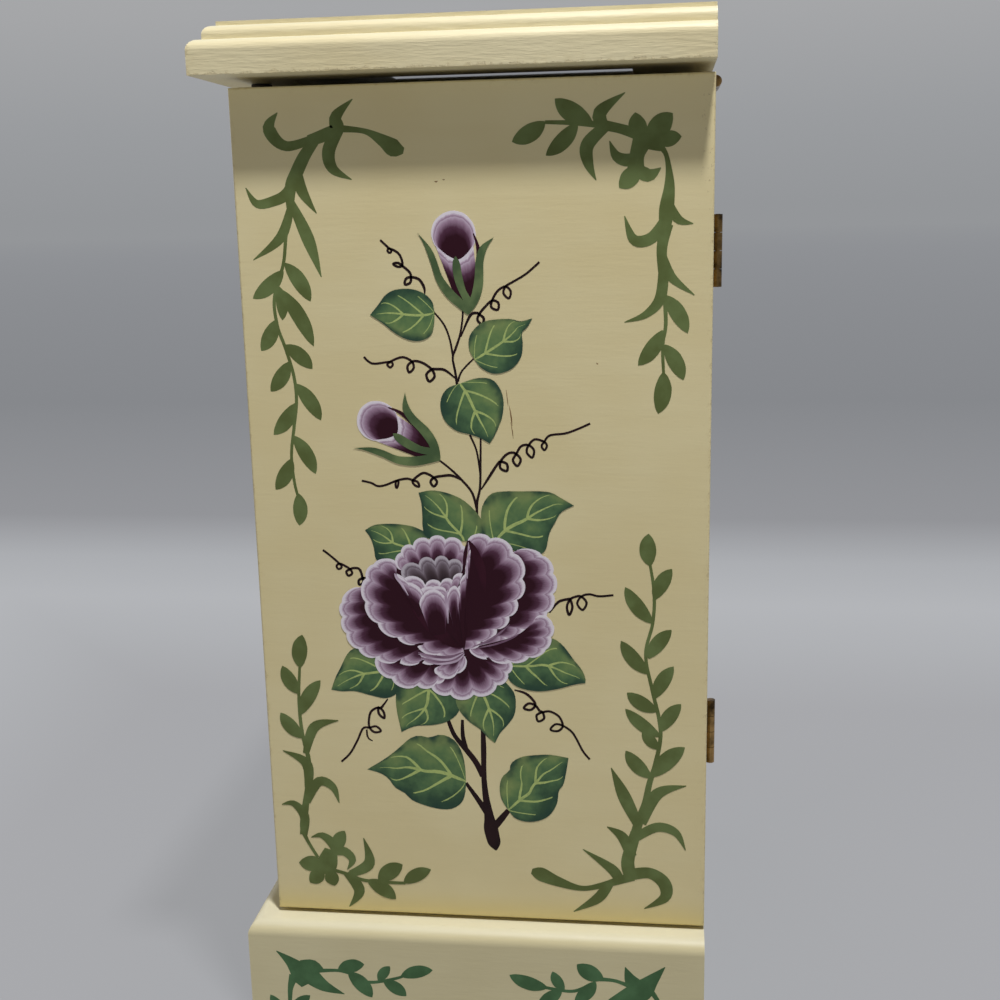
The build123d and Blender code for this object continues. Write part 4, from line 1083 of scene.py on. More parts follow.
# Tendrils: points, and loops as a crossing place, the loop's far end and its breadth.
TENDRILS = (
    ((66.9, 240.7), (66.7, 243), (65, 245.7), (62.2, 246.5, 60, 244, 2), (61.7, 248.3),
     (59.2, 250.5, 56, 251.2, 1.3), (59.1, 252.7), (57.8, 255), (54.9, 256.5, 54.9, 255, 1.5), (54, 257.3),
     (51.7, 259.5)),
    ((79.3, 225.5), (82.7, 232.7), (85, 233.8), (86, 233.3, 87, 229.8, 2.3), (88, 235.7),
     (90.7, 238, 92.6, 234.8, 2.9), (92.7, 241.3), (95.5, 242.8, 96.6, 238.7, 2.6), (98, 244.3),
     (102.7, 247), (107.5, 251)),
    ((77.4, 210.4), (73.3, 213.7), (70, 214.1), (68.5, 214, 67.5, 209.7, 3), (66, 216), (63.3, 217),
     (61.5, 216.8, 60.3, 213, 2.3), (59, 218.3), (56.7, 218.2), (53.5, 216.8, 53.5, 214.8, 2), (48, 216.2),
     (45.7, 217), (44.1, 218.7)),
    ((78.6, 173.6), (74.7, 175.5), (70.7, 175.3), (68, 174.7, 67.9, 171.5, 2.4), (66, 176), (63.7, 176.3),
     (60.3, 173.7, 62.5, 171.4, 1.6), (58, 174.3), (54.5, 173.6, 54.1, 170.8, 1), (50.3, 172),
     (47.3, 171.5), (44.7, 172.7), (41.3, 173.5)),
    ((85.2, 170.4), (88, 174.7), (91.3, 179.7), (92.5, 180.7, 94.7, 177.3, 2.8), (94.3, 183), (96.3, 184),
     (98.2, 183.5, 98.5, 179.1, 2.8), (100, 186.3), (102.7, 186.7, 103.9, 182.2, 2.7), (105, 188.8),
     (108.3, 187.9, 108.3, 184.9, 1.9), (110.3, 190.2), (116, 191), (120.7, 192.7), (124.7, 194.5)),
    ((41.4, 136.8), (40, 136.5, 38.6, 134, 1.8), (39, 139.9), (36.9, 140.4),
     (35.4, 139.9, 34.6, 137.4, 2.3), (33.3, 141.3), (31.5, 142, 31, 139.9, 2), (28.3, 144.9),
     (25.4, 147.2)),
    ((109.4, 124.3), (112.6, 128.4), (116.1, 129.6), (117, 129.5, 116.6, 123.6, 2), (119, 130.6),
     (121.1, 130.7, 121.5, 125.6, 3.4), (124, 131.6), (127.6, 130.9), (132.8, 131.4)),
    ((47.6, 89.2), (44.9, 85.6), (43.8, 85.6, 45.9, 81.4, 2), (40.9, 83.9), (39.9, 80.3),
     (40.1, 77.4, 44.4, 76.2, 2.5), (37.5, 77), (34.9, 71.7), (32, 66.7), (28.4, 63.1)),
    ((95.9, 94), (99.9, 92.8), (102.7, 90.3), (103.6, 88.1, 99.3, 86.9, 2.6), (105.2, 86),
     (106.3, 85.4, 104.6, 81.8, 3), (109.1, 85.8), (112.4, 83.9), (113.8, 80.3, 109.2, 78.6, 2.8),
     (117, 78.1), (118.8, 75.3), (121.3, 70.3), (123.8, 67.1)),
)
# Broad leaves: the left and the right edge, each from stalk to tip.
BROAD_LEAVES = (
    (((76.6, 56.4), (76.3, 52.4), (74.9, 48.1), (71.3, 45.3), (67, 44.8), (61.3, 45.9), (55.6, 48.1),
     (52.7, 51), (49.1, 53.1), (46.6, 56.7), (43.4, 58.9), (38.4, 60.3)), ((76.6, 56.4), (76.4, 63.1),
     (75.2, 68.9), (72.7, 73.1), (69.1, 75.1), (65.6, 75.1), (63.2, 74), (59.1, 74.7), (55.6, 73.5),
     (52, 70.3), (48.4, 67.1), (44.1, 63.9), (38.4, 60.3))),
    (((92.7, 45.4), (94.9, 42.4), (99.1, 40.9), (104.1, 41.4), (108.4, 43.9), (111.3, 48.9), (112, 53.9),
     (113.8, 56.7), (114.9, 61.7), (115.8, 67.4)), ((92.7, 45.4), (90.2, 49.6), (89.5, 54.6), (90.6, 58.9),
     (93.4, 61.7), (94.1, 64.6), (97.7, 67.1), (102.7, 68.1), (109.1, 68.5), (115.8, 67.4))),
    (((52, 103), (53, 98), (51.5, 92), (47, 89.5), (41, 90.5), (35, 92), (30, 91.8), (25.9, 92.4)),
     ((52, 103), (46, 106.5), (40, 109.4), (36.3, 109.3), (33, 107.1), (29.7, 101), (27.6, 97),
     (25.9, 92.4))),
    (((61, 96), (68, 95.5), (74, 92), (74.9, 88.9), (74.5, 84.6), (70.6, 81), (64.9, 79.2), (57.7, 78.5),
     (52.4, 76)), ((61, 96), (55, 96), (51.5, 93.5), (50.7, 89.6), (50.9, 84.6), (51.6, 80.3), (52.4, 76))),
    (((82, 96), (88, 99), (92, 97.4), (95.6, 93.1), (96.3, 88.9), (95.6, 83.9), (92.7, 79.6), (90.2, 76.7),
     (88.1, 72.6)), ((82, 96), (76, 95), (73.6, 90), (74.9, 85.3), (78.4, 81), (82.7, 77.8), (85.6, 74.6),
     (88.1, 72.6))),
    (((93, 104), (93.4, 99), (97, 95.3), (104.1, 93.7), (111.3, 94.6), (118.4, 96.7), (122.4, 97.4)),
     ((93, 104), (100, 110), (106, 113), (110, 114.5), (114, 112), (118.4, 106), (120.9, 102.8),
     (122.3, 99.6), (122.4, 97.4))),
    (((57.5, 144.9), (52, 142.5), (48, 143), (45.4, 143.8), (44.7, 148.4), (43.6, 152), (41.7, 154.9)),
     ((57.5, 144.9), (63, 148), (65.1, 153.1), (61.1, 155.9), (56.9, 157), (51.1, 157.4), (45.4, 156.9),
     (41.7, 154.9))),
    (((77.2, 151.3), (70, 150.6), (64.5, 152.5), (63.3, 156.3), (63.3, 160.6), (63.1, 165.2),
     (62.2, 169.1)), ((77.2, 151.3), (84, 151.5), (86.1, 154.9), (85.1, 159.1), (82.6, 162.7),
     (78.3, 166.6), (72.6, 169.1), (66.9, 170), (62.2, 169.1))),
    (((91, 151.5), (97, 147.6), (104, 146.4), (107.3, 147), (108.7, 149.4), (109.7, 154.2), (111.9, 158.5),
     (114.1, 162.2), (118.7, 164.7)), ((91, 151.5), (86, 153), (84.9, 160), (85.8, 165), (88.9, 168.9),
     (94, 169.8), (99.7, 169.8), (106, 169.9), (110.6, 169.4), (114.1, 167.4), (118.7, 164.7))),
    (((78.7, 208), (75.3, 208), (72.3, 205.3), (71.2, 201.3), (72, 197), (74, 194), (77.3, 191.7),
     (81.3, 190.7), (85.3, 189.3), (88.7, 187.3)), ((78.7, 208), (82, 210.1), (86, 210.9), (90, 210.3),
     (92.7, 207.3), (94, 202.7), (93.5, 197.3), (92, 193.3), (90.3, 189.7), (88.7, 187.3))),
    (((84, 217.5), (86, 214.7), (90, 212.5), (94, 212.7), (98, 214.7), (100.7, 218.7), (101.2, 223.3),
     (101, 226.7), (103, 228.7), (104.7, 231.7)), ((84, 217.5), (82.2, 220.7), (82.3, 225.3), (84.7, 228.7),
     (88, 230.8), (92.7, 231.5), (97.3, 231.5), (100.7, 230.7), (104.7, 231.7))),
    (((70.1, 234.1), (69.7, 237.3), (68, 239.7), (64.7, 241.7), (60.7, 242.5), (56, 242.1), (52.7, 240.3),
     (50.3, 237.3), (47, 233.5)), ((70.1, 234.1), (70, 230.7), (69, 226.7), (66.7, 224.8), (63.3, 224.1),
     (59.3, 225), (55.3, 227.3), (51.7, 230.3), (47, 233.5))),
)
# What shows dark between the petals: wide strokes laid under them.
ROSE_HEART = (
    ((72, 108, 4), (70, 114, 20), (70, 124, 32), (69, 134, 28), (68, 144, 20), (68, 149, 6)),
    ((52, 122, 8), (66, 112, 12), (84, 110, 12), (98, 118, 8)),
    ((51.6, 138.6, 1), (55, 133, 6), (61, 124, 9), (68, 116, 9)),
    ((50.6, 140, 4), (55, 137.6, 7), (60, 137, 9), (66, 138, 8)),
    ((82, 109.6, 3), (90, 111.6, 7), (98, 115, 9), (104, 119.6, 7), (105.6, 121.4, 2)),
)
# Petals from the back of the rose to its front: the heart, the cusps between the scallops, and their swell.
PETALS = (
    (((77, 110),), ((64.2, 95.2), (71.6, 91.6), (80.5, 91.8), (89.4, 95.8), (93.6, 100.4), (94.7, 105.2)),
     0.24),
    (((66, 112), (74, 110)), ((43.6, 105.7), (49.4, 97.4), (59.1, 94.9), (66.3, 95.9), (69.7, 98.2)), 0.24),
    (((79.6, 110.2), (88, 112.4), (97, 115.4), (102.4, 119.6)), ((79.3, 109.2), (87, 106.2), (94.8, 105),
     (101.6, 107), (107.9, 110.2), (109.8, 115), (110.6, 119.9), (106.4, 123.4), (103.9, 121.6)), 0.17),
    (((80, 141), (79, 125), (78.5, 110)), ((96.6, 147), (107.2, 145.9), (110.9, 139.3), (110.8, 131.6),
     (108.6, 124.4), (100.2, 117.8), (94.1, 114.4), (86.9, 111.7), (81, 110.3)), 0.20),
    (((54, 131), (61, 120), (68, 112), (77, 110)), ((38.8, 133), (31.6, 127.1), (31.7, 121.4), (32.9, 115),
     (37.2, 108.9), (43.6, 105.7), (51.9, 104.5), (60.8, 104.5), (66.9, 104.3), (77.4, 107.6)), 0.20),
    (((67, 107), (77, 108.5)), ((60.4, 107.4), (67, 104.4), (76.6, 107)), 0.14),
    (((72, 105), (77.4, 107)), ((66.2, 102), (66.9, 99.4), (74.3, 100), (77.6, 106.8)), 0.26),
    (((52.8, 138.6), (56, 129), (62.6, 118), (70.4, 111.4), (77, 109.3)), ((53.2, 142.9), (44.3, 142),
     (41.3, 136.6), (40.7, 127.4), (45, 119.2), (52.2, 113.8), (59.4, 111.4), (66.9, 107.2), (76.3, 108.1)),
     0.20),
    (((55.8, 139.3), (62.4, 141), (70.2, 142), (77.6, 141.4)), ((53.8, 140.2), (54.8, 146.6), (59.4, 149.3),
     (65.5, 151.5), (71.6, 151.6), (77.9, 149.6), (78.4, 144.9)), 0.28),
    (((62, 134), (69, 134.2), (76, 136)), ((54.8, 137.2), (61.3, 142), (67.2, 143.4), (72.6, 143.6),
     (77.6, 140.6)), 0.38),
    (((60, 131), (69.7, 130.4), (75, 132)), ((55.2, 136.2), (63.5, 134.3), (69.4, 135.2), (73.9, 136.2),
     (77.6, 138.8)), 0.28),
    (((79.4, 140), (80.6, 126), (78.6, 116), (77.5, 109.5)), ((79.9, 151.8), (88.3, 152.2), (96.4, 146.9),
     (99.6, 137.1), (97.4, 129.1), (94.5, 122.7), (89.9, 117.8), (83.6, 112.9), (80.3, 110)), 0.24),
    (((76.9, 109.9), (76, 112)), ((52.2, 138.6), (56.8, 135.2), (61.8, 132.6), (66.4, 133.6), (71, 133)),
     0.12),
    (((60.6, 122), (62.4, 124)), ((52.3, 137.8), (56.8, 135), (62.4, 131.2)), 0.12),
    (((77, 110), (78, 112)), ((75.4, 129.6), (76.5, 134.4), (79, 138.8), (79.8, 143.4), (80.8, 148)), 0.16),
    (((74, 117),), ((71.8, 126.6), (72.2, 132), (74.6, 134.2), (76.4, 130.4)), 0.14),
    (((65, 115), (70.4, 116)), ((61.2, 126.4), (62.6, 130.4), (66.2, 132.6), (69.7, 131), (71.6, 125.6)),
     0.13),
)
# The front petals that are shaded whole, not scallop by scallop.
WHOLE_PETALS = (13, 15, 16)
# The petal that stands in the shade of the hollow.
HOLLOW_PETAL = 9
# Dark lines over the petals: the slit beside the front petal, and the shade past it.
ROSE_SLIT = (
    ((79.9, 151.4, 0.3), (79.1, 148, 1.2), (78.5, 144, 1.4), (78.2, 140.4, 0.4)),
    ((80.2, 151.4, 0.5), (82.2, 147.4, 2.6), (84.6, 140, 3.2), (85.6, 132, 0.6)),
)
# Broader mauve strokes, where petals fold away from the middle.
ROSE_FOLDS = (
    ((81, 110.8, 0.2), (86, 113, 0.7), (90.4, 115.8, 0.8), (94.6, 119.6, 0.2)),
    ((82, 110.2, 0.2), (89, 111.8, 0.7), (95, 114.2, 0.7), (98, 116, 0.2)),
    ((60, 108, 0.3), (66, 106.2, 1.8), (72, 106.2, 1.8), (77.2, 108.6, 0.3)),
    ((61, 106.2, 0.3), (67, 104.3, 1.6), (74, 105.4, 1.6), (77.4, 108.2, 0.3)),
)
# Pale edges, where petals turn over.
ROSE_EDGES = (
    ((80.3, 147.6, 0.3), (79.4, 143, 0.8), (79.3, 137, 0.3)),
    ((52.2, 138.6, 0.4), (52.9, 137, 1.1), (54.6, 134.6, 0.9), (56, 132.2, 0.5), (57, 130.2, 0.2)),
    ((71.6, 119.6, 0.15), (71.6, 123.6, 0.7), (71.4, 127, 1.1), (71.1, 130, 1.0), (71.8, 132.4, 0.3)),
    ((60, 107.4, 0.2), (66, 105.6, 0.8), (72, 105.6, 0.8), (77, 108.2, 0.2)),
    ((61, 105.6, 0.2), (67, 103.7, 0.7), (74, 104.8, 0.8), (77.4, 107.8, 0.2)),
    ((74.6, 100.6, 0.2), (76.2, 103, 1.0), (77.4, 106.6, 0.3)),
)
# A bud in its own frame: across and along from its root; its mouth is 27.8 from its root.
BUD_LENGTH = 27.8
BUD_LIP = ((-7.2, 25), (-4, 20.8), (-0.3, 18.6), (3.2, 20), (5.9, 22.9))
BUD_BACK = (
    (-7.4, 25), (-8, 29.4), (-6.4, 33), (-3.2, 35.2), (0.5, 35.8), (4.4, 34.3), (7, 30.6), (7.4, 26.5),
    (6.1, 22.9),
)
BUD_BASE = ((-3.6, 7), (1.2, 3), (5, 7))
BUD_SIDE = ((6.6, 27, 0.4), (7.4, 22, 1.2), (6.4, 16, 1.4), (4.6, 10, 0.4))
BUD_SEPALS = (
    (((0, -0.4), (0.4, 2.5), (-1.2, 5.4), (-4, 9.2), (-6.7, 14.3), (-7.8, 20.5), (-9.2, 24.8),
     (-12.8, 30.4)), ((0, -0.4), (-2.9, 2.6), (-6.4, 6.8), (-9, 12.6), (-10, 19.5), (-11.3, 26.4),
     (-12.8, 30.4))),
    (((0, -0.4), (2.2, 1.2), (5, 4.5), (7.2, 9.6), (8.5, 16.8), (10.5, 21.2), (13.4, 24.5)), ((0, -0.4),
     (1.3, 4.4), (2.7, 6.9), (4.5, 12), (5.9, 17.8), (8.3, 22.2), (13.4, 24.5))),
    (((1.6, 1), (1.9, 5), (0.7, 8.5), (0.3, 13.3), (0.2, 18), (-0.9, 20.4)), ((-0.4, 1), (-0.6, 4),
     (-2.3, 10.2), (-2.7, 15), (-2.2, 18.6), (-0.9, 20.4))),
)
# The two buds: the root, the mouth, and how wide its sepals spread.
BUDS = (((82, 233.5), (78, 261), 1.0), ((70.3, 181.3), (48.2, 195.6), 1.12))
# Scratches and chips in the door's paint.
SCRATCHES = (
    ((95, 206.6, 0.15), (95.4, 203, 0.3), (95.6, 200.6, 0.1)),
    ((96, 201, 0.1), (96.6, 197, 0.5), (96.9, 193.6, 0.15)),
    ((96.4, 195, 0.1), (97, 191.4, 0.3), (97.2, 189, 0.1)),
    ((71.6, 279, 0.2), (72.2, 278.8, 0.5), (72.7, 279.1, 0.1)),
    ((74.4, 279.6, 0.1), (74.8, 279.4, 0.4), (75.2, 279.5, 0.1)),
    ((127, 216, 0.1), (127.3, 215.6, 0.5), (127.6, 215.7, 0.1)),
)


LEAF_SPREAD, LEAF_BEND = 1.08, 0.05


def vines(brush: Brush, strokes: Sequence, leaves: Sequence) -> None:
    """Lays a vine's strokes and its small leaves."""
    for stroke in strokes:
        brush.line(stroke, 3)
    for root_y, root_z, tip_y, tip_z, width in leaves:
        brush.leaf((root_y, root_z), (tip_y, tip_z), width * LEAF_SPREAD, LEAF_BEND)


def from_bud(bud: tuple, stroke: Run, spread: float = 1.0) -> list[Point]:
    """A stroke of the bud's own frame, turned, sized and spread to stand on its root."""
    root, mouth = bud[:2]
    dy, dz = mouth[0] - root[0], mouth[1] - root[1]
    size = hypot(dy, dz)
    scale, dy, dz = size / BUD_LENGTH, dy / size, dz / size
    placed = []
    for across, along, *width in stroke:
        across, along = across * spread * scale, along * scale
        placed.append((root[0] + dz * across + dy * along, root[1] - dy * across + dz * along, *width))
    return placed


@dataclass
class DoorOrnament:
    """The rose spray and the corner vines on the right door, and the same again on the left."""

    side: Side = RIGHT_FACE
    pieces: list[Piece] = field(default_factory=list)
    # How far off the door each layer of paint starts, and the coats that aren't a brush's usual one.
    scratch_level: float = 0.012
    stalk_level: float = 0.02
    leaf_level: float = 0.07
    bud_level: float = 0.10
    fold_level: float = 0.116
    lip_level: float = 0.118
    heart_level: float = 0.124
    sepal_level: float = 0.13
    petal_level: float = 0.135
    stalk_coat: float = 0.0015
    scratch_coat: float = 0.001
    petal_coat: float = 0.006

    def keep(self, brush: Brush, finish: Finish) -> None:
        """Finishes a brush's piece and keeps it."""
        self.pieces.append(brush.finish(finish, "right_door"))

    def lines(
        self, name: str, runs: Sequence, columns: int, step: float, level: float, coat: float = Brush.coat
    ) -> Brush:
        """Lays a line along each run, on a new piece that starts at a level."""
        brush = Brush(f"right_door_{name}", self.side, level)
        brush.coat = coat
        for run in runs:
            brush.line(run, columns, step)
        return brush

    def vines(self) -> None:
        """The four corner vines."""
        brush = Brush("right_door_vines", self.side)
        brush.coat = THIN_COAT
        for strokes, leaves in (
            (UPPER_FRONT_VINE, UPPER_FRONT_LEAVES), (UPPER_BACK_VINE, UPPER_BACK_LEAVES),
            (LOWER_BACK_VINE, LOWER_BACK_LEAVES), (LOWER_FRONT_VINE, LOWER_FRONT_LEAVES),
        ):
            vines(brush, strokes, leaves)
        self.keep(brush, VINE)

    def stalks(self) -> None:
        """The spray's stalks and its curling tendrils."""
        brush = self.lines("stalks", STALKS, 2, 1.1, self.stalk_level, self.stalk_coat)
        for run in TENDRILS:
            brush.tendril(run)
        self.keep(brush, STALK)

    def scratches(self) -> None:
        """A few scratches and chips."""
        self.keep(self.lines("scratches", SCRATCHES, 2, 0.5, self.scratch_level, self.scratch_coat), SCRATCH)

    def leaves(self) -> None:
        """The spray's broad shaded leaves."""
        brush = Brush("right_door_leaves", self.side, self.leaf_level)
        for left, right in BROAD_LEAVES:
            brush.patch(left, right, 10, 26)
        self.keep(brush, LEAF)

    def rose(self) -> None:
        """The open rose: its dark heart, petal over petal, and the fine lines on top."""
        heart = self.lines("rose_heart", ROSE_HEART, 6, 1.1, self.heart_level)
        petals = Brush("right_door_rose", self.side, self.petal_level)
        shaded = Brush("right_door_rose_hollow", self.side, self.petal_level)
        petals.coat = shaded.coat = self.petal_coat
        for number, (inner, cusps, swell) in enumerate(PETALS):
            (shaded if number == HOLLOW_PETAL else petals).petal(inner, cusps, swell, number in WHOLE_PETALS)
            petals.height = shaded.height = max(petals.height, shaded.height)
        slits = self.lines("rose_slits", ROSE_SLIT, 3, 1.1, petals.height)
        folds = self.lines("rose_folds", ROSE_FOLDS, 3, 0.8, slits.height)
        edges = self.lines("rose_edges", ROSE_EDGES, 2, 0.6, folds.height)
        for brush, finish in (
            (heart, HEART), (petals, PETAL), (shaded, SHADED_PETAL), (slits, HEART), (folds, MAUVE),
            (edges, PALE_EDGE),
        ):
            self.keep(brush, finish)

    def buds(self) -> None:
        """The two buds: the petal behind the mouth, the body before it, the pale lip and the sepals."""
        petals = Brush("right_door_buds", self.side, self.bud_level)
        lips = Brush("right_door_bud_lips", self.side, self.lip_level)
        folds = Brush("right_door_bud_folds", self.side, self.fold_level)
        sepals = Brush("right_door_bud_sepals", self.side, self.sepal_level)
        for bud in BUDS:
            lip = from_bud(bud, BUD_LIP)
            petals.petal(lip, from_bud(bud, BUD_BACK), 0.06, whole=True)
            petals.petal(from_bud(bud, BUD_BASE), lip, 0.03, whole=True)
            folds.line(from_bud(bud, BUD_SIDE), 2)
            lips.line([(y, z, 0.3 + 0.6 * (0 < i < 4)) for i, (y, z) in enumerate(lip)], 2, 0.6)
            for left, right in BUD_SEPALS:
                sepals.patch(from_bud(bud, left, bud[2]), from_bud(bud, right, bud[2]), 5, 20)
        for brush, finish in ((petals, PETAL), (folds, HEART), (lips, LIP), (sepals, SEPAL)):
            self.keep(brush, finish)

    def build(self) -> list[Piece]:
        """Paints the right door, and mirrors it all on the left one."""
        for step in (self.vines, self.stalks, self.scratches, self.leaves, self.rose, self.buds):
            step()
        for piece in list(self.pieces):
            copy = mirrored(piece, piece.name.replace("right", "left"))
            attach(copy, "left_door")
            self.pieces.append(copy)
        return self.pieces


@dataclass
class BaseOrnament:
    """The vines on the two sides of the base."""

    def build(self) -> list[Piece]:
        """Paints the right side and mirrors it on the left."""
        brush = Brush("base_right_vines", BASE_FACE)
        brush.coat = THIN_COAT
        vines(brush, BASE_VINE, BASE_LEAVES)
        right = brush.finish(BASE_VINE_GREEN, "cabinet")
        left = mirrored(right, "base_left_vines")
        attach(left, "cabinet")
        return [right, left]


# Studio.


@dataclass(frozen=True)
class Studio:
    """The camera, the lamps, the floor and the backdrop."""

    camera_at: Point = (572.12, 66.17, 342.73)
    pitch: float = 12.56
    roll: float = -1.225
    yaw: float = -7.193
    lens: float = 47.03
    key_from: Point = (10.4, 5.7, 38.5)
    key_near: float = 1.3
    key_size: float = 0.1
    key_power: float = 17.1
    key_colour: Point = (0.99, 0.985, 1.0)
    key_aim: Point = (0.115, 0, 0.23)
    fill_from: Point = (-1.0, -1.25, 0.42)
    fill_power: float = 0.52
    fill_spread: float = 50
    fill_colour: Point = (1.0, 0.95, 0.86)
    floor_size: float = 40
    floor_tones: tuple = ((0.0, tint(166, 167, 170)), (0.35, tint(174, 175, 179)), (0.6, tint(186, 187, 191)))
    backdrop_tones: tuple = (
        (0.0, tint(168, 170, 174)), (0.143, tint(172, 173, 177)), (0.19, tint(180, 182, 186)),
        (0.22, tint(183, 185, 189)), (0.25, tint(172, 174, 178)), (0.281, tint(147, 148, 152)),
        (0.375, tint(134, 136, 140)), (0.60, tint(143, 145, 149)), (0.69, tint(148, 150, 153)),
    )
    light_tones: tuple = ((0.0, tint(142, 138, 131)), (0.5, tint(111, 107, 100)), (1.0, tint(85, 82, 76)))
    sky_tones: tuple = (
        (0.0, tint(148, 150, 153)), (0.06, tint(154, 156, 159)), (0.135, tint(165, 166, 168)),
        (0.5, tint(186, 187, 189)),
    )

    def camera(self) -> None:
        """Stands the camera where the photograph was taken from."""
        pitch, roll, yaw = (radians(a) for a in (self.pitch, self.roll, self.yaw))
        base = Matrix(((0, 1, 0), (0, 0, -1), (-1, 0, 0)))
        turned = Matrix.Rotation(roll, 3, "Z") @ Matrix.Rotation(pitch, 3, "X")
        view = turned @ base @ Matrix.Rotation(yaw, 3, "Z")
        data = bpy.data.cameras.new("camera")
        data.lens = self.lens
        data.clip_start = 0.01
        data.clip_end = 200
        camera = bpy.data.objects.new("camera", data)
        bpy.context.scene.collection.objects.link(camera)
        facing = (Matrix.Diagonal((1, -1, -1)) @ view).transposed().to_4x4()
        camera.matrix_world = Matrix.Translation(Vector(self.camera_at) * MM) @ facing
        bpy.context.scene.camera = camera

    def hang(self, name: str, data: bpy.types.Light, toward: Vector, place: Vector) -> None:
        """Hangs a lamp at a place, with its back to a direction."""
        lamp = bpy.data.objects.new(name, data)
        bpy.context.scene.collection.objects.link(lamp)
        lamp.rotation_mode = "QUATERNION"
        lamp.rotation_quaternion = toward.to_track_quat("Z", "Y")
        lamp.location = place
        lamp.visible_camera = False

    def lamps(self) -> None:
        """A small round key lamp high over the box, and a weak broad fill from the front left."""
        key = bpy.data.lights.new("key", "AREA")
        key.shape = "DISK"
        key.size = self.key_size
        key.energy = self.key_power
        key.color = self.key_colour
        toward = Vector(self.key_from).normalized()
        self.hang("key", key, toward, Vector(self.key_aim) + toward * self.key_near)
        fill = bpy.data.lights.new("fill", "SUN")
        fill.energy = self.fill_power
        fill.angle = radians(self.fill_spread)
        fill.color = self.fill_colour
        self.hang("fill", fill, Vector(self.fill_from), Vector((0, 0, 2)))

    def floor(self) -> None:
        """A pale grey floor that drops off to a soft, darker backdrop, both mostly glowing with painted light
        and shade.
        """
        floor = start("plane", "floor", size=self.floor_size)
        material = bpy.data.materials.new("floor")
        material.use_nodes = True
        graph = Graph(material.node_tree)
        x, y = graph.parts(graph.place())[:2]
        far = graph.math("MAXIMUM", graph.math("ABSOLUTE", x), graph.math("ABSOLUTE", y))
        # Painted light: the floor's own colour pales with the distance from the box.
        near = graph.ramp(graph.spread(far, 0.0, 0.9), *self.floor_tones)
        graph.join(near, "Base Color")
        graph.shader.inputs["Roughness"].default_value = 0.7
        graph.shader.inputs["Specular IOR Level"].default_value = 0.2
        # The backdrop's tones, lighter and darker bands with the distance from the box, are painted light and
        # shade.
        deep = graph.math("LOGARITHM", far, 10.0)
        backdrop = graph.ramp(graph.scaled(deep, 0.3, 0.3, clamp=True), *self.backdrop_tones)
        glow = graph.node("Emission", {"Color": backdrop})
        # The floor mostly glows, 78 in 100 near the box and wholly far off, so the box's cast shadow on it is
        # faint.
        share = graph.spread(far, 0.3, 0.8, 0.78, 1.0)
        both = graph.node("MixShader", {0: share, 1: graph.shader.outputs[0], 2: glow.outputs[0]})
        output = material.node_tree.nodes["Material Output"]
        material.node_tree.links.new(both.outputs[0], output.inputs["Surface"])
        floor.data.materials.append(material)

    def world(self) -> None:
        """Soft light from all round, and a grey backdrop for what looks past the floor."""
        world = bpy.data.worlds.new("studio")
        bpy.context.scene.world = world
        world.use_nodes = True
        tree = world.node_tree
        graph = Graph(tree)
        background = tree.nodes["Background"]
        up = graph.parts(graph.node("TexCoord").outputs["Generated"])[2]
        light = graph.ramp(graph.spread(up, -0.1, 1.0), *self.light_tones)
        seen = graph.ramp(graph.scaled(up, 1.0, 0.0, clamp=True), *self.sky_tones)
        path = graph.node("LightPath").outputs
        looked = graph.math("ADD", path["Is Camera Ray"], path["Is Glossy Ray"], clamp=True)
        looked = graph.math("ADD", looked, path["Is Transmission Ray"], clamp=True)
        tree.links.new(graph.blend(looked, light, seen), background.inputs["Color"])

    def build(self) -> None:
        """Sets up everything round the box."""
        self.camera()
        self.lamps()
        self.floor()
        self.world()
        bpy.context.scene.view_settings.view_transform = "Standard"


# The box's own pieces.

DRAWERS = [f"drawer_{number}" for number in range(1, 5)]
ALONG_X, ALONG_Y, ALONG_Z = (0.12, 1.0, 1.0), (1.0, 0.12, 1.0), (1.0, 1.0, 0.12)
# How the paint of the lid, the doors and the plinth differs from the other boards'; the lid's and the
# plinth's tints are painted light and shade.
LID_PAINT_AND_LIGHT = {
    "wear": 0.22, "ridges": 0.34,
    # Painted light and shade: a paler, less yellow cream on the lid's sides, as if lit more, and a darker one
    # on its top.
    "light": tint(235, 224, 184), "deep": tint(228, 215, 172), "painted_top_shade": tint(212, 207, 178),
}
DOOR_PAINT = {"wear": 0.2, "worn_back": True}
PLINTH_PAINT_AND_SHADE = {
    "wear": 0.0, "ridges": 0.12,
    # Painted shade: a darker cream all over the plinth, as if it stood in less light.
    "light": tint(227, 217, 176), "deep": tint(219, 208, 166), "painted_top_shade": tint(223, 218, 191),
}


@dataclass
class Joinery:
    """The painted and the bare wood of the box, board by board."""

    painted: dict = field(
        default_factory=lambda: {
            "base_sides": ALONG_Y, "base_bottom": ALONG_X, "base_back": ALONG_X, "base_top": ALONG_Y,
            "back_panel": ALONG_Z, "pilasters": ALONG_Z, "partitions": ALONG_Z, "tray_front": ALONG_X,
            "lid_board": ALONG_Y, "right_door_panel": ALONG_Y, "left_door_panel": ALONG_Y,
            "base_drawer_front": ALONG_X, **{f"{drawer}_front": ALONG_X for drawer in DRAWERS},
        }
    )
    bare: tuple = (
        "drawer_shelves", "tray_floor", "base_drawer_box", *(f"{drawer}_box" for drawer in DRAWERS)
    )

    def build(self, nodes: dict) -> None:
        """Gives each board its own paint or grain."""
        for name, stretch in self.painted.items():
            low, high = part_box(name)
            coat = {}
            if name == "lid_board":
                coat = LID_PAINT_AND_LIGHT
            elif name.endswith("door_panel"):
                coat = DOOR_PAINT
            elif name.startswith("base_"):
                coat = PLINTH_PAINT_AND_SHADE
            paint = CreamPaint(f"cream paint, {name}", tuple(low), tuple(high), stretch, **coat)
            paint.apply(nodes[name])
        for name in self.bare:
            BareWood("bare wood").apply(nodes[name])


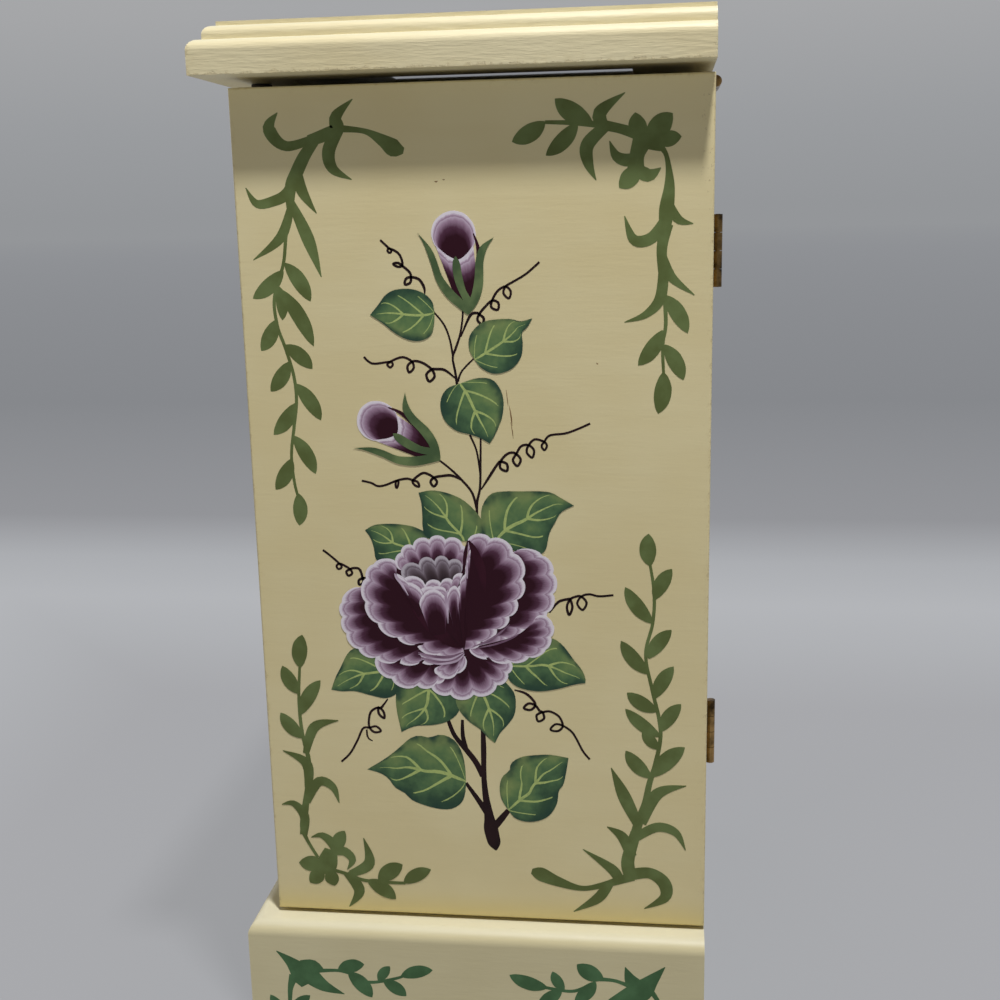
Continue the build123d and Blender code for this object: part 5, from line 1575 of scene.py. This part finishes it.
@dataclass
class Hardware:
    """The hinges, knobs, hooks, screws, mirror and music movement."""

    brass: tuple = (
        "base_drawer_knob", *(f"{drawer}_knob" for drawer in DRAWERS), "right_hook_strip",
        "left_hook_strip", "music_cylinder", "governor_wheel", "governor_fan",
    )
    aged: tuple = (
        "door_hinge_fixed_leaves", "lid_hinge_fixed_leaves", "hinge_pins", "lid_hinge_leaves",
        "right_door_hinge_leaves", "left_door_hinge_leaves",
    )
    steel: tuple = (
        "cabinet_screws", "lid_screws", "right_door_fasteners", "left_door_fasteners", "comb_screws",
        "catch_magnets", "stop_pin",
    )
    movement: tuple = (
        "movement_plate", "governor_frame", "spring_housing", "comb", "winding_arbor", "winding_key",
    )

    def build(self, nodes: dict) -> None:
        """Gives each metal, glass and plastic node its finish."""
        for names, finish in (
            (self.brass, BRASS), (self.aged, AGED_BRASS), (self.steel, STEEL), (self.movement, MOVEMENT_METAL)
        ):
            finish.apply(*(nodes[name] for name in names))
        MIRROR.apply(nodes["lid_mirror"])
        PLASTIC.apply(nodes["movement_cover"])


def corners(node: str) -> tuple[Vector, Vector]:
    """A node's lowest and highest corner, in millimetres."""
    low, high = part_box(node)
    return Vector(low) / MM, Vector(high) / MM


@dataclass
class Lining:
    """A flat piece of cloth that lies on a floor of the box, a little wavy, with its edges trimmed square."""

    name: str
    low: Point
    high: Point
    finish: Finish
    body: str = "cabinet"
    node: str | None = None
    slot: str = "velvet"
    cell: float = 3.0
    wave: float = 0.08
    settled: float = 6.0
    hole: tuple = ()
    rests_on: tuple = ()

    def cut_out(self, place: Vector) -> bool:
        """Whether a place lies in the hole."""
        x0, x1, y0, y1 = self.hole
        return x0 < place.x / MM < x1 and y0 < place.y / MM < y1

    def build(self) -> Piece:
        """Cuts the cloth, lays it and hides the node that it stands for."""
        width, length = self.high[0] - self.low[0], self.high[1] - self.low[1]
        piece = sheet(self.name, *(max(4, round(side / self.cell)) for side in (width, length)))
        thick = self.high[2] - self.low[2]
        area = width * length
        with editing(piece) as mesh:
            for vert in mesh.verts:
                x, y = self.low[0] + (vert.co.x + 0.5) * width, self.low[1] + (vert.co.y + 0.5) * length
                lift = noise.noise(Vector((x * 0.05, y * 0.05, self.low[2]))) * 0.5 - 0.5
                edge = min(x - self.low[0], self.high[0] - x, y - self.low[1], self.high[1] - y)
                sag = max(min(lift, 0), -1) * min(edge / self.settled, 1)
                z = self.high[2] - thick * self.wave + thick * self.wave * sag
                vert.co = (x * MM, y * MM, z * MM)
            if self.hole:
                inside = [face for face in mesh.faces if self.cut_out(face.calc_center_median())]
                area -= sum(face.calc_area() for face in inside) / MM / MM
                bmesh.ops.delete(mesh, geom=inside, context="FACES")
        modify(piece, "SOLIDIFY", thickness=thick * (1 - self.wave * 2) * MM, offset=-1.0)
        smooth(piece)
        self.finish.apply(piece)
        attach(piece, self.body)
        if self.node:
            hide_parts(self.node)
        return piece


@dataclass
class Linings:
    """Velvet in the tray and the drawers, and felt under the base."""

    drawer_pitch: float = 68.15
    drawer_floor: float = 279.75
    in_drawer: tuple = ((-65.6, -74.9), (65.6, 65.9))
    in_base_drawer: tuple = ((-109.6, -84.9, 14.82), (109.6, 65.9, 15.13))
    lift: float = 0.02
    thick: float = 0.31
    cover_gap: float = 0.3

    def build(self) -> list[Piece]:
        """Lays every lining."""
        tray, felt, cap = corners("tray_lining"), corners("base_felt"), corners("movement_cover")
        gap = self.cover_gap
        hole = (cap[0].x - gap, cap[1].x + gap, cap[0].y - gap, tray[1].y + 1)
        linings = [
            Lining("tray_velvet", *tray, VELVET, node="tray_lining", hole=hole, rests_on=("tray_floor",)),
            Lining("base_felt_pad", *felt, FELT, node="base_felt", slot="felt", cell=5.0),
        ]
        near, far = self.in_drawer
        beds = {}
        for number, drawer in enumerate(DRAWERS):
            floor = self.drawer_floor - self.drawer_pitch * number + self.lift
            beds[drawer] = (*near, floor), (*far, floor + self.thick), 6.0
        beds["base_drawer"] = (*self.in_base_drawer, 7.0)
        for body, (low, high, cell) in beds.items():
            box = (f"{body}_box",)
            linings.append(Lining(f"{body}_velvet", low, high, VELVET, body, cell=cell, rests_on=box))
        return [lining.build() for lining in linings]


@dataclass
class RingRolls:
    """The velvet pad of soft rolls that hold rings between them."""

    rolls: int = 6
    enlarged: float = 10.0
    voxel: float = 0.014
    cap: float = 0.5
    pressure: float = 4.0
    frames: int = 20
    end_gap: float = 1.6
    side_gap: float = 0.7
    top_gap: float = 0.9
    rounding: float = 3.2
    pucker: float = 0.035
    dimple: float = 0.0025
    sway: float = 0.00012

    def inflate(self, roll: Piece, floor: float) -> None:
        """Swells a roll like stuffed cloth, its underside held flat.

        Args:
            roll: the roll, made larger than life so that the cloth settles well.
            floor: the height of its underside.
        """
        group = roll.vertex_groups.new(name="held")
        held = [vert.index for vert in roll.data.vertices if vert.co.z < floor + 0.02]
        group.add(held, 1.0, "REPLACE")
        before = [vert.co.copy() for vert in roll.data.vertices]
        cloth = roll.modifiers.new("cloth", "CLOTH")
        cloth.settings.quality = 6
        cloth.settings.mass = 0.3
        cloth.settings.use_pressure = True
        cloth.settings.uniform_pressure_force = self.pressure
        cloth.settings.effector_weights.gravity = 0
        cloth.settings.vertex_group_mass = "held"
        cloth.collision_settings.use_collision = False
        scene = bpy.context.scene
        for number in range(1, self.frames + 1):
            scene.frame_set(number)
        pick(roll)
        bpy.ops.object.modifier_apply(modifier=cloth.name)
        scene.frame_set(1)
        most = self.cap * self.enlarged * MM
        for vert, old in zip(roll.data.vertices, before):
            move = vert.co - old
            if move.length > most:
                vert.co = old + move * (most / move.length)
            vert.co.z = max(vert.co.z, floor)

    def build(self) -> list[Piece]:
        """Stuffs one roll, and lays copies of it side by side."""
        low, high = corners("ring_rolls")
        pitch = (high.y - low.y) / self.rolls
        size = self.enlarged * MM
        length, width = high.x - low.x - self.end_gap, pitch - self.side_gap
        height = high.z - low.z - self.top_gap
        roll = start("cube", "ring_roll_1", size=1)
        with editing(roll) as mesh:
            for vert in mesh.verts:
                x, y, z = vert.co
                vert.co = (x * length * size, y * width * size, (z + 0.5) * height * size)
            level = height * size * 1.9
            top = [edge for edge in mesh.edges if sum(vert.co.z for vert in edge.verts) > level]
            bmesh.ops.bevel(
                mesh, geom=top, offset=self.rounding * size, segments=4, profile=0.5, affect="EDGES"
            )
        modify(roll, "REMESH", mode="VOXEL", voxel_size=self.voxel)
        self.inflate(roll, 0.0)
        modify(roll, "SUBSURF", levels=1, render_levels=1)
        for vert in roll.data.vertices:
            pucker = noise.noise(Vector((vert.co.x * 22, vert.co.y * 9, vert.co.z * 9)))
            share = vert.co.z / (height * size)
            vert.co.y *= 1 + self.pucker * pucker * (1 - share)
            vert.co.z += self.dimple * pucker * share
            vert.co *= 1 / self.enlarged
        made = [roll, *(twin(roll, f"ring_roll_{number}") for number in range(2, self.rolls + 1))]
        for number, piece in enumerate(made):
            reach = (high.z - low.z) * MM
            for vert in piece.data.vertices:
                sway = noise.noise(Vector((vert.co.x * 40, number * 7.0, 0.5))) * self.sway
                vert.co += Vector((0, (low.y + pitch * (number + 0.5)) * MM + sway, low.z * MM))
                vert.co.z = min(vert.co.z, low.z * MM + reach)
            smooth(piece, 60)
            VELVET.apply(piece)
            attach(piece, "cabinet")
        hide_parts("ring_rolls")
        return made


@dataclass
class DoorPocket:
    """A gathered velvet pocket inside a door, with an elastic hem along its mouth."""

    node: str = "right_pocket"
    pleats: int = 24
    pleat: float = 0.8
    roundness: float = 3.4
    thick: float = 0.9
    hem: float = 0.93
    foot: float = 0.16
    lean: float = 0.16
    drawn_in: float = 0.06
    sunk: float = 0.4
    slack: float = 0.6
    # How near the door the pleats die out, and how far the hem turns in and down.
    quiet: float = 5.0
    hem_in: float = 1.5
    hem_down: float = 1.6
    # What stays free of the node's box: at each end, and before the pocket.
    end_gap: float = 0.6
    face_gap: float = 0.3
    steps: tuple = (192, 36)

    def plan(self, share: float, depth: float, half: float) -> tuple[float, float]:
        """Where the pocket's wall runs, seen from above: along the door, and out from it."""
        turn = pi * share
        along = -copysign(abs(cos(turn)) ** (2 / self.roundness), cos(turn)) * half
        return along, abs(sin(turn)) ** (2 / self.roundness) * depth

    def build(self) -> list[Piece]:
        """Sews the right pocket and mirrors it for the left door."""
        low, high = corners(self.node)
        door, half, tall = high.x, (high.y - low.y) / 2 - self.end_gap, high.z - low.z
        deep = high.x - low.x - self.pleat - self.face_gap
        piece = sheet("right_door_pocket", *self.steps)
        with editing(piece) as mesh:
            for vert in mesh.verts:
                across, up = vert.co.x + 0.5, vert.co.y + 0.5
                rise = min(up / self.hem, 1.0)
                tuck = max(up - self.hem, 0.0) / (1 - self.hem)
                belly = min(rise / self.foot, 1.0) ** 0.55 * (1 - self.lean * rise**4)
                reach = half * (1 - self.drawn_in + self.drawn_in * min(rise / 0.12, 1))
                along, out = self.plan(across, deep * max(belly, 0.04), reach)
                fold = 0.3 + 0.7 * rise**3 + 0.5 * max(0.2 - rise, 0) / 0.2
                drift = noise.noise(Vector((across * 9, 0, 3))) * 2.2
                ripple = cos(across * self.pleats * 2 * pi + drift)
                sag = noise.noise(Vector((across * 6, rise * 3, 7))) * self.slack
                free = min(out / self.quiet, 1)
                depth = out + (ripple * self.pleat * 0.5 * fold + sag) * free
                height = tall * rise - self.sunk
                if tuck:
                    depth -= self.hem_in * sin(pi * 0.5 * tuck) * free
                    height -= self.hem_down * (1 - cos(pi * 0.5 * tuck)) + 1.4 * max(tuck - 0.6, 0)
                    height += 0.5 * sin(pi * tuck)
                depth = min(max(depth, 0.6), high.x - low.x - 0.25)
                height = min(max(height, 0.5), tall)
                vert.co = ((door - depth) * MM, (along + (low.y + high.y) / 2) * MM, (low.z + height) * MM)
        modify(piece, "SOLIDIFY", thickness=self.thick * MM, offset=0.0)
        smooth(piece, 80)
        left = mirrored(piece, "left_door_pocket")
        for pocket, side in ((piece, "right"), (left, "left")):
            VELVET.apply(pocket)
            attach(pocket, f"{side}_door")
            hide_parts(f"{side}_pocket")
        return [piece, left]


@dataclass
class Bumpers:
    """Two soft felt dots under the lid's front corners."""

    node: str = "lid_bumpers"
    half: float = 4.0
    insets: Point = (0.0011, 0.0014)
    rounding: float = 0.0005
    fuzz: float = 0.00006

    def build(self) -> list[Piece]:
        """Shapes one dot and mirrors it."""
        low, high = corners(self.node)
        middle = Vector((high.x - self.half, high.y - self.half, (low.z + high.z) / 2)) * MM
        depth = (high.z - low.z - 0.1) * MM
        right = start(
            "cylinder", "right_lid_bumper", vertices=28, radius=self.half * MM, depth=depth, location=middle
        )
        settle(right)
        with editing(right) as mesh:
            for face in mesh.faces:
                face.select = abs(face.normal.z) > 0.9
            for inset in self.insets:
                bpy.ops.mesh.inset(thickness=inset)
        modify(right, "BEVEL", width=self.rounding, segments=3, limit_method="ANGLE")
        front = (low.y + 0.05) * MM
        for vert in right.data.vertices:
            fuzz = noise.noise(vert.co * 900) * self.fuzz
            vert.co.y = max(vert.co.y + fuzz, front)
        smooth(right)
        left = mirrored(right, "left_lid_bumper")
        for piece in (right, left):
            FELT.apply(piece)
            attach(piece, "cabinet")
        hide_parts(self.node)
        return [right, left]


@dataclass
class CylinderPins:
    """The fine steel pins that pluck the comb, set round the music cylinder."""

    axis: Point = (58.45, 361.1)
    radius: float = 6.5
    start_x: float = -28.4
    pitch: float = 1.2
    notes: int = 18
    steps: int = 9
    scatter: float = 34
    rise: float = 0.4
    sunk: float = 0.45
    seed: int = 11
    dice: tuple = (1103515245, 12345, 2147483648)
    # A pin's radius at its foot and its tip, and its length, in metres.
    pin: Point = (0.00022, 0.00014, 0.0009)

    def build(self) -> list[Piece]:
        """Sets the pins in rows, each row under one tooth of the comb."""
        foot, tip, length = self.pin
        piece = start("cone", "cylinder_pins", vertices=6, radius1=foot, radius2=tip, depth=length)
        settle(piece)
        pin = piece.data.copy()
        empty(piece)
        mesh = bmesh.new()
        state, (factor, shift, size) = self.seed, self.dice
        up = Matrix.Translation((0, 0, (self.radius + self.rise - self.sunk) * MM))
        for note in range(self.notes):
            x = self.start_x + self.pitch * note
            for step in range(self.steps):
                state = (state * factor + shift) % size
                turn = radians(step * 360 / self.steps + state / size * self.scatter)
                place = Matrix.Translation(Vector((x, *self.axis)) * MM)
                out = place @ Matrix.Rotation(turn, 4, "X") @ up
                first = len(mesh.verts)
                mesh.from_mesh(pin)
                mesh.verts.ensure_lookup_table()
                for vert in mesh.verts[first:]:
                    vert.co = out @ vert.co
        mesh.to_mesh(piece.data)
        mesh.free()
        bpy.data.meshes.remove(pin)
        STEEL.apply(piece)
        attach(piece, "cylinder")
        return [piece]


@dataclass
class FrontSprigs:
    """Small leafy sprigs on the drawers, the base and the two uprights beside them."""

    drawer_pitch: float = 68.15
    drawer_knob_z: float = 308.0
    base_knob_z: float = 36.75
    plinth_top_z: float = 72
    front_y: float = -83.5
    base_front_y: float = -93.5
    # Sprigs on one half: root and tip across and up, pairs of leaves, size of a leaf, bend.
    on_drawer: tuple = ((11, -1, 52, 6, 4, 9.5, 0.07), (13, -4, 34, -15, 2, 7.5, -0.07))
    on_base: tuple = ((4, -3, 42, 5, 4, 9.0, 0.07), (72, -3, 103, 4, 3, 8.5, 0.07))
    on_upright: tuple = ((87, 26, 87, 145, 7, 12.0, 0.03), (87, 288, 87, 169, 7, 12.0, 0.03))

    def paint(self, name: str, corner: Point, sprigs: Sequence, finish: Finish, body: str) -> Piece:
        """Paints one piece's sprigs on both halves of the front."""
        brush = Brush(name, Side(corner, (1, 0, 0), (0, 0, 1)))
        brush.coat = THIN_COAT
        for way in (-1, 1):
            for root_x, root_z, tip_x, tip_z, pairs, leaf, bend in sprigs:
                brush.sprig((root_x * way, root_z), (tip_x * way, tip_z), pairs, leaf, bend * way)
        return brush.finish(finish, body)

    def build(self) -> list[Piece]:
        """Paints the front, drawer by drawer."""
        made = []
        for number, drawer in enumerate(DRAWERS):
            corner = (0, self.front_y, self.drawer_knob_z - self.drawer_pitch * number)
            made.append(self.paint(f"{drawer}_sprigs", corner, self.on_drawer, VINE, drawer))
        corner = (0, self.base_front_y, self.base_knob_z)
        made.append(self.paint("base_drawer_sprigs", corner, self.on_base, BASE_VINE_GREEN, "base_drawer"))
        corner = (0, self.front_y, self.plinth_top_z)
        made.append(self.paint("upright_vines", corner, self.on_upright, VINE, "cabinet"))
        return made


def main() -> None:
    """Builds the studio and dresses the box, piece by piece."""
    logging.basicConfig(level=logging.INFO, format="%(message)s")
    Studio().build()
    log.info("studio ready")
    Joinery().build(frame["nodes"])
    log.info("boards painted")
    Hardware().build(frame["nodes"])
    log.info("hardware finished")
    painted = DoorOrnament().build() + BaseOrnament().build() + FrontSprigs().build()
    soft = Linings().build() + RingRolls().build() + DoorPocket().build() + Bumpers().build()
    for piece in painted + soft + CylinderPins().build():
        log.info("%s: %d faces", piece.name, len(piece.data.polygons))


if __name__ == "__main__":
    main()
